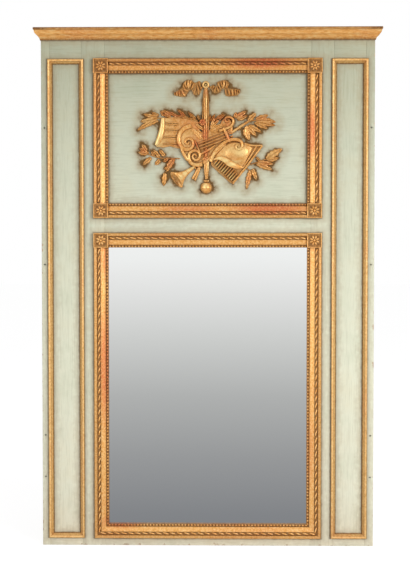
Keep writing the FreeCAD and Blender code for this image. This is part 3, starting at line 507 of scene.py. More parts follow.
def rub(mesh: bmesh.types.BMesh, spots: Sequence[Row], layer: str = RUBBED) -> None:
    """Store at each corner how far hands and cloths have rubbed the gold, or, on the highlight layer, how
    much painted highlight lightens the leaf.

    Args:
        mesh: the mesh.
        spots: where the marks lie: across, up, their two half sizes (millimetres), strength.
        layer: whether the marks are rubs that lay the bole bare or painted highlights on the leaf.
    """
    rubbed = mesh.verts.layers.float.new(layer)
    for vert in mesh.verts:
        for across, up, half_across, half_up, strength in spots:
            away = math.hypot((vert.co.x / MM - across) / half_across, (vert.co.z / MM - up) / half_up)
            vert[rubbed] = max(vert[rubbed], strength * min(1.0, max(0.0, 1.6 - 1.6 * away)))


def verts_of(geometry: Iterable[bmesh.types.BMVert | bmesh.types.BMEdge | bmesh.types.BMFace]) -> list:
    """Pick the corners out of what an operator returns."""
    return [item for item in geometry if isinstance(item, bmesh.types.BMVert)]


def cut_away(mesh: bmesh.types.BMesh, place: Row, normal: Row) -> None:
    """Cut away what lies beyond a plane and close the cut.

    Args:
        mesh: the mesh.
        place: a point of the plane.
        normal: the plane's normal, towards what goes.
    """
    everything = [*mesh.verts, *mesh.edges, *mesh.faces]
    bmesh.ops.bisect_plane(mesh, geom=everything, plane_co=place, plane_no=normal, clear_outer=True)
    bmesh.ops.holes_fill(mesh, edges=[edge for edge in mesh.edges if edge.is_boundary], sides=0)


def run_section(mesh: bmesh.types.BMesh, section: Sequence[Row], length: float) -> None:
    """Run a section along X.

    Args:
        mesh: the mesh to add to.
        section: its corners: how far down and how far out (millimetres), share of umber.
        length: the length of the run.
    """
    umber = umber_layer(mesh)
    ring = []
    for down, out, share in section:
        ring.append(mesh.verts.new((-length / 2, -out * MM, -down * MM)))
        ring[-1][umber] = share
    grown = bmesh.ops.extrude_face_region(mesh, geom=[mesh.faces.new(ring)])["geom"]
    bmesh.ops.translate(mesh, vec=(length, 0, 0), verts=verts_of(grown))


def ellipsoid(mesh: bmesh.types.BMesh, placing: Matrix, half: Row, segments: int, rings: int) -> list:
    """Add an ellipsoid.

    Args:
        mesh: the mesh to add to.
        placing: the matrix that places it.
        half: its half sizes in millimetres.
        segments: its segments round its own Z.
        rings: its rings along its own Z.

    Returns:
        Its corners.
    """
    size = Matrix.Diagonal((half[0] * MM, half[1] * MM, half[2] * MM, 1.0))
    return bmesh.ops.create_uvsphere(mesh, u_segments=segments, v_segments=rings, radius=1.0,
                                     matrix=placing @ size)["verts"]


# ---------------------------------------------------------------- boards
@dataclass
class Boards:
    """The boards of the case and of the front frame, planed and with slightly broken arrises."""

    finishes: Finishes
    outer_side: float
    carvings: Sequence[bpy.types.Object]
    arris: float = 0.9 * MM
    arris_steps: int = 2
    side_margin: float = 2 * MM
    dirt_and_shade_cuts: int = 110
    dirt_and_shade_core: float = 6 * MM
    dirt_and_shade_reach: float = 36 * MM
    dirt_and_shade_patch: float = 22.0

    def board(self, node: str, grain: Grain, painted: bool = True, between: Sequence[str] = (),
              round_what: Sequence[bpy.types.Object] = ()) -> None:
        """Build one board.

        Args:
            node: the CAD node that it stands for.
            grain: which way its grain runs.
            painted: whether its front and its outer side are painted.
            between: the uprights on its left and right, if it ends at them and its tenons lie inside them.
            round_what: pieces on its front that dirt and painted shade lie round.
        """
        low, high = corners_of(node)
        if between:
            low.x = corners_of(between[0])[1].x
            high.x = corners_of(between[1])[0].x
        mesh = bmesh.new()
        placing = Matrix.LocRotScale((high + low) / 2, None, high - low)
        bmesh.ops.create_cube(mesh, size=1.0, matrix=placing)
        bmesh.ops.bevel(mesh, geom=list(mesh.edges), offset=self.arris, segments=self.arris_steps,
                        profile=0.5, affect="EDGES", material=-1)
        mesh.normal_update()
        outer = self.outer_side - self.side_margin
        for face in mesh.faces:
            side = abs(face.normal.x) > 0.5 and abs(face.calc_center_median().x) > outer
            face.material_index = 0 if painted and (face.normal.y < -0.3 or side) else 1
        if round_what:
            self.gather_grime(mesh, round_what)
        sharpen(mesh, degrees=50)
        finish_piece(mesh, f"{node}_board", (self.finishes.paint[grain], self.finishes.pine[grain]),
                     node)

    def gather_grime(self, mesh: bmesh.types.BMesh, pieces: Sequence[bpy.types.Object]) -> None:
        """Divide a board's front finely and store how much dirt and painted shade lies at each corner, by
        what stands near.

        Args:
            mesh: the board.
            pieces: what stands on it.
        """
        front = max((face for face in mesh.faces if face.normal.y < -0.9), key=lambda face: face.calc_area())
        bmesh.ops.subdivide_edges(mesh, edges=list(front.edges), cuts=self.dirt_and_shade_cuts, use_grid_fill=True)
        level = min(vert.co.y for vert in mesh.verts)
        places = [vert.co for piece in pieces for vert in piece.data.vertices]
        near = kdtree.KDTree(len(places))
        for number, place in enumerate(places):
            near.insert((place.x, level, place.z), number)
        near.balance()
        grime = mesh.verts.layers.float.new(CARVING_DIRT_AND_SHADE)
        for vert in mesh.verts:
            gap = near.find((vert.co.x, level, vert.co.z))[2]
            # Dirt and painted shade: a dark core close to the carving and a wider halo, made patchy with
            # noise.
            patchy = 0.62 + 0.9 * noise.noise(vert.co * self.dirt_and_shade_patch)
            vert[grime] = patchy * (0.45 * max(0.0, 1 - gap / self.dirt_and_shade_core)
                                    + 1.25 * max(0.0, 1 - gap / self.dirt_and_shade_reach) ** 1.4)

    def build(self) -> None:
        """Build every board."""
        inner = ("inner_stile_left", "inner_stile_right")
        for side in ("left", "right"):
            for part in ("side_board", "outer_stile", "inner_stile", "side_panel"):
                self.board(f"{part}_{side}", Grain.UPRIGHT)
        for side, uprights in (("left", ("outer_stile_left", inner[0])),
                               ("right", (inner[1], "outer_stile_right"))):
            for level in ("top", "bottom"):
                self.board(f"short_rail_{level}_{side}", Grain.LEVEL, between=uprights)
        for node in ("top_rail", "middle_rail", "bottom_rail"):
            self.board(node, Grain.LEVEL, between=inner)
        self.board("trophy_panel", Grain.LEVEL, round_what=self.carvings)
        for node in ("top_board", "middle_batten", "hanging_batten"):
            self.board(node, Grain.LEVEL, painted=False)
        self.board("mirror_backboard", Grain.UPRIGHT, painted=False)


# ---------------------------------------------------------------- mouldings
# Sections of the mouldings: down from the outer edge, out of the stiles (millimetres), share of umber. The
# umber darkens the hollows and the foot as toning and painted shade at once.
MAIN_SECTION = (
    (0.0, 0.0, 0.8), (0.0, 7.4, 0.5), (0.7, 9.4, 0.35), (2.3, 10.9, 0.3), (4.6, 11.5, 0.2),
    (6.6, 11.4, 0.25), (8.6, 10.6, 0.4), (10.0, 9.2, 0.55), (10.6, 7.4, 0.8), (11.4, 5.2, 0.85),
    (20.8, 5.2, 0.85), (21.2, 9.1, 0.5), (21.9, 9.5, 0.1), (23.4, 8.7, 0.05), (25.4, 7.4, 0.0),
    (27.6, 6.2, 0.0), (29.8, 5.3, 0.0), (32.0, 4.5, 0.0), (34.4, 3.9, 0.05), (36.3, 3.5, 0.35),
    (36.8, 2.8, 1.0), (37.4, 1.2, 1.0), (44.2, 1.2, 0.95), (45.0, 0.8, 0.8), (45.0, -8.0, 0.9),
    (33.5, -8.0, 0.9), (33.5, 0.0, 0.9),
)
SIDE_SECTION = (
    (0.0, 0.0, 1.0), (0.0, 4.4, 1.0), (0.5, 5.9, 0.85), (1.8, 7.3, 0.35), (3.4, 7.9, 0.0), (5.2, 7.8, 0.0),
    (6.9, 6.9, 0.0), (8.0, 5.5, 0.1), (8.6, 4.2, 0.45), (9.1, 3.0, 0.45), (10.0, 1.8, 0.15),
    (11.2, 0.1, 0.1), (12.6, -1.7, 0.35), (14.0, -3.5, 0.75), (15.0, -4.8, 0.95), (15.5, -5.6, 1.0),
    (16.2, -5.7, 1.0), (16.2, -8.0, 1.0), (7.5, -8.0, 1.0), (7.5, 0.0, 1.0),
)
# The cornice's section: out of the case, up from the cornice's foot (millimetres), share of umber, which
# darkens the lower members as toning and painted shade at once.
CORNICE_SECTION = (
    (0.0, 5.2, 1.0), (2.2, 5.2, 1.0), (2.6, 5.8, 0.95), (2.8, 7.0, 0.85), (3.2, 8.6, 0.6), (4.4, 11.4, 0.4),
    (6.6, 15.0, 0.12), (9.4, 18.6, 0.02), (12.0, 20.8, 0.0), (14.8, 22.8, 0.0), (17.0, 25.4, 0.0),
    (18.6, 28.6, 0.0), (19.3, 31.6, 0.05), (19.5, 34.6, 0.25), (20.0, 35.5, 0.6), (21.6, 36.1, 0.4),
    (22.0, 36.9, 0.4), (22.0, 39.6, 0.6), (22.0, 42.2, 0.9), (21.2, 43.0, 1.0), (0.0, 43.0, 1.0),
)
# Where the frames are rubbed to the bole: across, up, half sizes across and up (millimetres), strength.
FRAME_RUBS = (
    (165, 1500, 130, 26, 1.0), (-60, 1503, 60, 12, 0.5), (318, 1290, 22, 110, 0.85),
    (190, 1052, 150, 26, 0.95), (-60, 1050, 120, 14, 0.6), (-318, 560, 22, 230, 0.85),
    (-318, 900, 16, 90, 0.6), (-270, 75, 80, 26, 1.0), (-120, 968, 150, 12, 0.35), (60, 70, 160, 12, 0.35),
    (318, 300, 16, 160, 0.35), (-335, 1330, 14, 90, 0.35),
)

@dataclass
class Strip:
    """A straight moulding: a section run along an edge, with square or mitred ends."""

    node: str
    edge: Edge
    section: Sequence[Row]
    width: float
    front: float
    mitres: tuple[int, ...] = ()
    segment: float = 24 * MM
    waver: float = 0.22 * MM

    def placing(self) -> tuple[Matrix, float]:
        """Find the strip's place from its CAD node.

        Returns:
            The matrix from the strip's own axes to the frame's, and the strip's length.
        """
        low, high = corners_of(self.node)
        middle = (low + high) / 2
        spots = {
            Edge.TOP: Vector((middle.x, self.front, high.z)),
            Edge.BOTTOM: Vector((middle.x, self.front, low.z)),
            Edge.RIGHT: Vector((high.x, self.front, middle.z)),
            Edge.LEFT: Vector((low.x, self.front, middle.z)),
        }
        upright = self.edge in (Edge.LEFT, Edge.RIGHT)
        length = high.z - low.z if upright else high.x - low.x
        turn = Matrix.Rotation(math.radians(self.edge.value), 4, "Y")
        return Matrix.Translation(spots[self.edge]) @ turn, length

    def run(self, mesh: bmesh.types.BMesh, length: float) -> None:
        """Run the section along X, cut the mitres and give it the slight waver of hand work.

        Args:
            mesh: the mesh to add to.
            length: the strip's length.
        """
        run_section(mesh, self.section, length)
        for way in self.mitres:
            cut_away(mesh, (way * length / 2, 0, 0), (way, 0, -1))
        along = [edge for edge in mesh.edges
                 if abs(edge.verts[0].co.x - edge.verts[1].co.x) > self.width + self.segment]
        bmesh.ops.subdivide_edges(mesh, edges=along, cuts=max(1, round(length / self.segment)))
        for vert in mesh.verts:
            if vert.co.y < -1 * MM and abs(vert.co.x) < length / 2 - self.width:
                shift = noise.noise_vector(Vector((vert.co.x * 23, vert.co.z * 60, self.front + length)))
                vert.co.y += shift.x * self.waver
                vert.co.z += shift.y * self.waver

    def ornament(self, mesh: bmesh.types.BMesh, length: float) -> None:
        """Add what is carved on the strip; a plain one has nothing."""

    def build(self, gilding: bpy.types.Material) -> None:
        """Build the strip where its CAD node is.

        Args:
            gilding: its material.
        """
        placing, length = self.placing()
        mesh = bmesh.new()
        self.run(mesh, length)
        sharpen(mesh, degrees=40)
        self.ornament(mesh, length)
        bmesh.ops.transform(mesh, matrix=placing, verts=mesh.verts)
        rub(mesh, FRAME_RUBS)
        finish_piece(mesh, f"{self.node}_carved", (gilding,), self.node)


@dataclass
class RopeStrip(Strip):
    """The main moulding: edge bead, twisted ribbon in its channel, hollow slope and a row of pearls."""

    rope_middle: float = 16.05 * MM
    rope_floor: float = 5.4 * MM
    rope_crest: float = 1.2 * MM
    twist_pitch: float = 21.9 * MM
    twist_half: tuple[float, float, float] = (10.4 * MM, 3.5 * MM, 3.9 * MM)
    twist_turn: float = 20.0
    pearl_middle: float = 40.9 * MM
    pearl_pitch: float = 9.95 * MM
    pearl_radius: float = 3.1 * MM
    pearl_level: float = 1.6 * MM

    def places(self, length: float, down: float, pitch: float) -> list[float]:
        """Spread ornaments evenly along the strip, inside its mitres.

        Args:
            length: the strip's length.
            down: how far from the outer edge they stand.
            pitch: their distance, which is stretched a little to fit.

        Returns:
            Their places along X.
        """
        low = -length / 2 + (down if -1 in self.mitres else 0.0)
        high = length / 2 - (down if 1 in self.mitres else 0.0)
        count = max(1, round((high - low) / pitch))
        step = (high - low) / count
        return [low + step * (number + 0.5) for number in range(count)]

    def ornament(self, mesh: bmesh.types.BMesh, length: float) -> None:
        """Carve the twisted ribbon and the pearls."""
        umber = umber_layer(mesh)
        half_length, half_width, half_rise = self.twist_half
        for number, along in enumerate(self.places(length, self.rope_middle, self.twist_pitch)):
            wobble = noise.noise(Vector((along * 31, number, length)))
            turn = Matrix.Rotation(math.radians(self.twist_turn + 3 * wobble), 4, "Y")
            size = Matrix.Diagonal((half_length, half_rise, half_width * (1 + 0.1 * wobble), 1.0))
            place = Matrix.Translation((along, -self.rope_floor, -self.rope_middle))
            twist = bmesh.ops.create_uvsphere(
                mesh, u_segments=10, v_segments=8, radius=1.0,
                matrix=place @ turn @ size @ Matrix.Rotation(math.pi / 2, 4, "Y"))
            # Each twist takes umber below its crest: toning and painted shade in the channel at once.
            for vert in twist["verts"]:
                vert[umber] = 0.0 if vert.co.y < -self.rope_floor - self.rope_crest else 0.5
        for number, along in enumerate(self.places(length, self.pearl_middle, self.pearl_pitch)):
            wobble = noise.noise(Vector((along * 47, number, length)))
            place = Matrix.Translation((along, -self.pearl_level, -self.pearl_middle))
            pearl = bmesh.ops.create_icosphere(mesh, subdivisions=2, matrix=place,
                                               radius=self.pearl_radius * (1 + 0.06 * wobble))
            for vert in pearl["verts"]:
                vert[umber] = 0.2


@dataclass
class RosetteBlock:
    """A corner block: raised border, sunk ground and a small open flower."""

    node: str
    front: float
    size: float = MAIN_WIDTH
    height: float = 14.6 * MM
    border: float = 3.9 * MM
    sinking: float = 4.2 * MM
    rounding: float = 0.7 * MM
    petals: int = 8
    petal_place: float = 9.6 * MM
    petal_half: tuple[float, float, float] = (6.4, 3.2, 3.5)
    boss_half: tuple[float, float, float] = (4.6, 5.4, 4.6)
    shaded: float = 6 * MM

    def block(self, depth: float) -> bmesh.types.BMesh:
        """Cut the block with its border and its finely divided ground.

        Args:
            depth: how far it goes back into the frame.

        Returns:
            The mesh, its front face's foot at Y = 0.
        """
        mesh = bmesh.new()
        size = Vector((self.size, self.height + depth, self.size))
        centre = Vector((0.0, (depth - self.height) / 2, 0.0))
        bmesh.ops.create_cube(mesh, size=1.0, matrix=Matrix.LocRotScale(centre, None, size))
        mesh.normal_update()
        face = min(mesh.faces, key=lambda item: item.calc_center_median().y)
        bmesh.ops.inset_region(mesh, faces=[face], thickness=self.border * 0.7, depth=0.0)
        bmesh.ops.inset_region(mesh, faces=[face], thickness=self.border * 0.3, depth=-self.sinking)
        rim = [edge for edge in mesh.edges if all(vert.co.y < -self.height + 0.1 * MM for vert in edge.verts)]
        bmesh.ops.bevel(mesh, geom=rim, offset=self.rounding, segments=2, profile=0.5, affect="EDGES",
                        material=-1)
        floor = -self.height + self.sinking
        ground = [item for item in mesh.faces
                  if abs(item.calc_center_median().y - floor) < 0.2 * MM and item.normal.y < -0.9]
        bmesh.ops.subdivide_edges(mesh, edges=list({edge for item in ground for edge in item.edges}),
                                  cuts=6, use_grid_fill=True)
        sharpen(mesh, degrees=45)
        return mesh

    def build(self, gilding: bpy.types.Material) -> None:
        """Build the block where its CAD node is.

        Args:
            gilding: its material.
        """
        low, high = corners_of(self.node)
        middle = Vector(((low.x + high.x) / 2, self.front, (low.z + high.z) / 2))
        mesh = self.block(high.y - self.front)
        umber = umber_layer(mesh)
        # Umber on the sides and the sunk ground of the block: toning and painted shade at once.
        for vert in mesh.verts:
            if vert.co.y > -self.height + 2 * MM:
                inside = self.size / 2 - self.border - max(abs(vert.co.x), abs(vert.co.z))
                vert[umber] = 0.6 if inside < -0.2 * MM else 1.0
        floor = Matrix.Translation((0.0, -self.height + self.sinking, 0.0))
        for number in range(self.petals):
            turn = Matrix.Rotation(2 * math.pi * (number + 0.5) / self.petals, 4, "Y")
            placing = floor @ turn @ Matrix.Translation((self.petal_place, 0.0, 0.0))
            for vert in ellipsoid(mesh, placing, self.petal_half, 14, 8):
                vert[umber] = 0.6 if math.hypot(vert.co.x, vert.co.z) < self.shaded else 0.15
        ellipsoid(mesh, floor, self.boss_half, 14, 10)
        bmesh.ops.transform(mesh, matrix=Matrix.Translation(middle), verts=mesh.verts)
        finish_piece(mesh, f"{self.node}_rosette", (gilding,), self.node)


@dataclass
class Frames:
    """All the gilt mouldings of the front."""

    finishes: Finishes
    front: float

    def build(self) -> None:
        """Build the strips and the corner blocks."""
        gilding = self.finishes.gilding
        mirror_mitres = {Edge.TOP: (), Edge.RIGHT: (1,), Edge.BOTTOM: (-1, 1), Edge.LEFT: (-1,)}
        for edge, mitres in mirror_mitres.items():
            name = edge.name.lower()
            for frame_name, ends in (("trophy", ()), ("mirror", mitres)):
                RopeStrip(f"{frame_name}_moulding_{name}", edge, MAIN_SECTION, MAIN_WIDTH, self.front,
                          ends).build(gilding)
            for side in ("left", "right"):
                Strip(f"{side}_panel_moulding_{name}", edge, SIDE_SECTION, SIDE_WIDTH, self.front,
                      (-1, 1)).build(self.finishes.dusty_gilding)
        for side in ("left", "right"):
            for corner in ("trophy_corner_top", "trophy_corner_bottom", "mirror_corner"):
                RosetteBlock(f"{corner}_{side}", self.front).build(gilding)


@dataclass
class Cornice:
    """The gilt cornice: fillet, round, hollow and bead, in a front run and two returns."""

    finishes: Finishes
    front: float
    half_width: float
    foot: float
    cuts: int = 40
    dark_tip: float = 12 * MM
    dark_from: float = 36 * MM

    def start(self, length: float) -> bmesh.types.BMesh:
        """Run the section along X, with its projection towards -Y and its foot at Z = 0."""
        mesh = bmesh.new()
        run_section(mesh, [(-up, out, share) for out, up, share in CORNICE_SECTION], length)
        return mesh

    def finish(self, mesh: bmesh.types.BMesh, node: str) -> None:
        """Make a run's piece."""
        sharpen(mesh, degrees=35)
        finish_piece(mesh, f"{node}_run", (self.finishes.streaked_gilding,), node)

    def build(self) -> None:
        """Build the three pieces."""
        low, high = corners_of("cornice_front")
        mesh = self.start(high.x - low.x)
        for way in (-1, 1):
            cut_away(mesh, (way * self.half_width, 0.0, 0.0), (way, 1.0, 0.0))
        long_edges = [edge for edge in mesh.edges if edge.calc_length() > self.half_width]
        bmesh.ops.subdivide_edges(mesh, edges=long_edges, cuts=self.cuts)
        bmesh.ops.translate(mesh, vec=(0.0, self.front, self.foot), verts=mesh.verts)
        umber = umber_layer(mesh)
        for vert in mesh.verts:
            if abs(vert.co.x) > self.half_width - self.dark_tip and vert.co.z > self.foot + self.dark_from:
                vert[umber] = 1.0
        self.finish(mesh, "cornice_front")
        for side, way in (("left", -1), ("right", 1)):
            mesh = self.start(4 * abs(self.front))
            turn = Matrix.Rotation(way * math.pi / 2, 4, "Z")
            spot = Matrix.Translation((way * self.half_width, 0.0, self.foot))
            bmesh.ops.transform(mesh, matrix=spot @ turn, verts=mesh.verts)
            cut_away(mesh, (way * self.half_width, self.front, 0.0), (-way, -1.0, 0.0))
            cut_away(mesh, (0.0, 0.0, 0.0), (0.0, 1.0, 0.0))
            self.finish(mesh, f"cornice_return_{side}")


# ---------------------------------------------------------------- carved trophy
# Where the trophy is rubbed to the bole, as in FRAME_RUBS but from the middle of the trophy panel.
TROPHY_RUBS = (
    (-13, 47, 16, 15, 1.0), (-4, 10, 18, 34, 0.8), (-2, -50, 14, 34, 0.7), (-34, -22, 12, 24, 0.8),
    (66, 8, 14, 22, 0.8), (-95, 74, 62, 14, 0.7), (45, 58, 45, 18, 0.55), (105, 72, 26, 14, 0.6),
    (-110, -72, 26, 34, 0.6), (-195, -40, 20, 16, 0.5), (-2, 140, 8, 16, 0.6), (-78, 140, 30, 10, 0.5),
    (170, 60, 30, 14, 0.35), (-92, -24, 16, 10, 0.7), (180, -80, 26, 14, 0.4), (128, -130, 14, 24, 0.4),
)
# Painted highlights: where the leaf is lightened to pale gold as if light glinted there, in the same form.
TROPHY_PAINTED_HIGHLIGHTS = (
    (-139, 46, 9, 26, 0.9), (-144, 16, 11, 30, 1.0), (-156, -14, 11, 20, 1.0), (-112, 24, 26, 40, 0.12),
    (40, -63, 16, 9, 0.9), (57, -70, 16, 9, 1.0), (76, -82, 18, 9, 1.0), (104, -42, 32, 22, 0.75),
    (66, -36, 30, 18, 0.5), (96, -26, 14, 14, 0.6), (20, -56, 9, 24, 0.45), (-80, -121, 10, 9, 0.9),
    (-68, -110, 10, 9, 1.0), (-56, -100, 9, 8, 1.0), (-44, -92, 8, 7, 0.8), (-2, 108, 3.4, 34, 0.75),
    (-2, 62, 3.4, 20, 0.5), (3, -82, 4, 26, 0.8), (-6, -147, 11, 11, 0.9), (-34, -80, 20, 10, 0.35),
    (-60, -58, 10, 18, 0.35), (-84, 2, 7, 24, 0.4), (30, -84, 14, 14, 1.0), (50, -102, 18, 14, 1.0),
    (74, -122, 18, 18, 1.0), (66, 20, 12, 18, 0.3), (84, 22, 8, 8, 0.6), (103, 34, 9, 9, 0.5),
    (-42, -62, 12, 10, 0.3), (-185, 52, 24, 18, 0.3), (200, -50, 22, 14, 0.3), (-3.6, 162.8, 13, 13, 0.9),
    (0, 152, 116, 30, 0.22),
)
# Folds of the ribbon: three places, across and up, and the greatest half width.
FOLDS = (
    ((-12.1, 157.7), (-16, 154.4), (-18.5, 146.9), 3),
    ((-26.1, 173.8), (-21.8, 164.1), (-20.3, 150.1), 3.6),
    ((-30.4, 162), (-27.1, 149.1), (-25.4, 132.7), 3.8),
    ((-33.2, 153.4), (-37.9, 143.7), (-40.5, 134), 3.8), ((-39, 169.1), (-43.3, 159.8), (-48.6, 148), 3.8),
    ((-48.6, 176.1), (-51.9, 166.3), (-52.5, 154.4), 4.6),
    ((-56.8, 176.6), (-58.3, 166.3), (-56.8, 151.6), 4.8),
    ((-65.4, 174), (-67.3, 165.2), (-62.4, 154.4), 4.6),
    ((-71.8, 166.3), (-72.3, 157.7), (-67.5, 151.2), 3.4),
    ((-73.3, 153.8), (-66.9, 147.3), (-56.2, 143.9), 4),
    ((-77.6, 145.8), (-73.3, 137.2), (-67.5, 128.4), 4.6),
    ((-85.6, 144.8), (-85.6, 137.2), (-84.3, 128.4), 4),
    ((-92, 142.6), (-92.5, 136.2), (-91.6, 129.7), 4.4),
    ((-99.3, 138.8), (-99.8, 134.9), (-98.1, 131.9), 2.8), ((7.2, 157.2), (13.7, 155.9), (19.1, 160.7), 3),
    ((21.9, 160.9), (18.8, 153.8), (16.3, 149.5), 3), ((26.6, 155.1), (24.4, 145.8), (22.7, 138.8), 4.2),
    ((30.5, 156.6), (33.9, 146.9), (35.2, 139.2), 3.8), ((33.9, 170.1), (37.3, 159.8), (42.1, 149.9), 4),
    ((42.5, 173.1), (45.9, 162), (48.5, 152.9), 3.8), ((51.9, 176.1), (52.8, 166.3), (51.5, 154.4), 5),
    ((60.5, 172.7), (61.4, 163), (57.1, 153.4), 4.4), ((67.4, 167.3), (63.1, 158.1), (59.2, 150.8), 3.2),
    ((56.7, 149.1), (58, 140.9), (59.2, 132.3), 3.6), ((65.7, 149.1), (68.5, 140.5), (69.1, 130.2), 4.4),
    ((77.1, 149.1), (78.8, 140.5), (79.7, 129.7), 4.6), ((86.8, 149.5), (87.8, 141.3), (87.8, 131.9), 3.8),
    ((94.3, 148.6), (94.5, 143.7), (92.3, 136.6), 3.2), ((100.1, 145.2), (99.7, 141.5), (98.4, 137.9), 2.4),
)
# Leaves of the sprays: where each leaves its stem, its tip, its width before LEAF_SPREAD.
SPRAYS = (
    # upper left
    ((-151, 65), (-197, 73), 13), ((-152, 61), (-206, 51), 17), ((-162, 56), (-215, 24), 15),
    ((-150, 54), (-182, 36), 13), ((-148, 68), (-172, 78), 10),
    # over the music sheet
    ((-134, 66), (-143, 85), 9), ((-112, 67), (-141, 84), 12), ((-110, 64), (-139, 73), 11),
    ((-92, 66), (-119, 81), 11), ((-66, 66), (-92, 88), 10), ((-56, 60), (-90, 70), 10),
    ((-46, 62), (-58, 80), 8), ((-34, 58), (-53, 76), 9), ((-28, 50), (-60, 62), 10),
    ((-22, 54), (-30, 72), 8), ((-76, 62), (-104, 68), 10),
    # upper middle and right
    ((7, 50), (13, 71), 8), ((12, 48), (26, 74), 9), ((22, 50), (43, 72), 10), ((34, 54), (58, 73), 10),
    ((40, 60), (52, 76), 8), ((86, 60), (92, 79), 12), ((89, 60), (121, 81), 16), ((94, 55), (126, 69), 12),
    ((127, 50), (152, 76), 16), ((150, 56), (190, 70), 15), ((150, 53), (213, 48), 17),
    ((152, 49), (212, 38), 14), ((146, 48), (188, 28), 14), ((123, 38), (131, -8), 22),
    ((126, 38), (152, 6), 16), ((128, 39), (168, 17), 15),
    # lower left
    ((-186, -42), (-202, -20), 13), ((-182, -48), (-213, -44), 13), ((-180, -50), (-210, -32), 12),
    ((-172, -60), (-199, -83), 14), ((-163, -57), (-172, -40), 10), ((-146, -61), (-166, -37), 12),
    ((-146, -66), (-161, -83), 13), ((-130, -58), (-148, -36), 12), ((-120, -62), (-136, -74), 11),
    ((-101, -62), (-125, -105), 18), ((-130, -107), (-134, -149), 15), ((-116, -88), (-133, -97), 11),
    # lower right
    ((166, -74), (151, -58), 9), ((182, -67), (232, -34), 22), ((186, -70), (222, -62), 13),
    ((156, -75), (205, -81), 15), ((152, -80), (202, -99), 16), ((140, -95), (153, -130), 14),
    ((134, -98), (122, -160), 15),
)
# Stems of the sprays: across and up.
STEMS = (
    ((-48, 58), (-100, 60), (-149, 61), (-168, 53)), ((96, 22), (124, 49), (158, 54)),
    ((-84, -64), (-117, -63), (-149, -61), (-182, -50)), ((-101, -62), (-112, -84), (-128, -106)),
    ((112, -86), (146, -79), (182, -66)), ((118, -90), (137, -105)),
)
# Leaves that grow over the lyre, as in SPRAYS.
LYRE_LEAVES = (
    ((-16, -6), (-45, 30), 17), ((-8, 4), (-32, 24), 12), ((10, 18), (48, 30), 12), ((8, 22), (50, 44), 12),
    ((10, 10), (52, 20), 11), ((-10, 24), (-36, 44), 12), ((10, 28), (38, 56), 12),
    ((12, 30), (24, 62), 11), ((30, 30), (62, 40), 11), ((6, -42), (16, -62), 10),
    ((26, -30), (44, -42), 9), ((-6, -54), (-18, -74), 9),
)
# In millimetres: the thinnest that a swept form gets; how high a fold stands over its middle line and how
# far out that lies; how high a scroll stands, how far out its start lies and how much further its eye. A
# fold's ends keep a share of its width, and the sprays' leaves are carved a little wider than SPRAYS says.
THINNEST = 0.15
FOLD_RISE, FOLD_OUT, FOLD_TAPER = 6.6, 2.2, 0.35
SCROLL_RISE, SCROLL_OUT, SCROLL_LIFT = 8.5, 6.0, 3.0
LEAF_SPREAD = 1.2


@dataclass(frozen=True)
class Station:
    """A place on the path of a carving, in millimetres from the middle of the trophy panel.

    The section there is an ellipse with the half width `width` and the half height `rise`, and its middle
    lies `out` of the panel.
    """

    across: float
    up: float
    width: float
    rise: float
    out: float = 0.0
    tilt: float = 0.0


def between_stations(rows: Sequence[Row], steps: int) -> list[Station]:
    """Put more stations between the given ones, on a smooth curve through them.

    Args:
        rows: the values of the given stations.
        steps: how many stretches each stretch becomes.

    Returns:
        All stations.
    """
    given = [Vector(astuple(Station(*row))) for row in rows]
    padded = [2 * given[0] - given[1], *given, 2 * given[-1] - given[-2]]
    found = []
    for before, start, end, after in zip(padded, padded[1:], padded[2:], padded[3:]):
        for step in range(steps):
            share = step / steps
            found.append(0.5 * (2 * start + (end - before) * share
                                + (2 * before - 5 * start + 4 * end - after) * share ** 2
                                + (3 * start - before - 3 * end + after) * share ** 3))
    found.append(given[-1])
    return [Station(across, up, max(width, THINNEST), max(rise, THINNEST), out, tilt)
            for across, up, width, rise, out, tilt in found]


def ridge(points: Sequence[Row], width: float) -> list[Row]:
    """Shape a fold of the ribbon that is fullest in its middle.

    Args:
        points: its path, across and up.
        width: its greatest half width.

    Returns:
        Its stations' values.
    """
    rows = []
    for number, (x, z) in enumerate(points):
        fullness = math.sin(math.pi * (0.15 + 0.7 * number / (len(points) - 1)))
        share = FOLD_TAPER + (1 - FOLD_TAPER) * fullness
        rows.append((x, z, width * share, FOLD_RISE * share, FOLD_OUT))
    return rows


def curl(points: Sequence[Row], start: float, eye: float) -> list[Row]:
    """Shape a scroll that grows thinner and climbs towards its eye.

    Args:
        points: its path, across and up.
        start: its half width at its start.
        eye: its half width at its eye.

    Returns:
        Its stations' values.
    """
    rows = []
    for number, (x, z) in enumerate(points):
        share = number / (len(points) - 1)
        width = start + (eye - start) * share
        rise = SCROLL_RISE * (0.55 + 0.45 * width / start)
        rows.append((x, z, width, rise, SCROLL_OUT + SCROLL_LIFT * share))
    return rows


def around(middle: Row, radius: float, turn: float) -> tuple[float, float]:
    """Find the point of a circle that lies `turn` degrees from its right end."""
    angle = math.radians(turn)
    return (middle[0] + radius * math.cos(angle), middle[1] + radius * math.sin(angle))


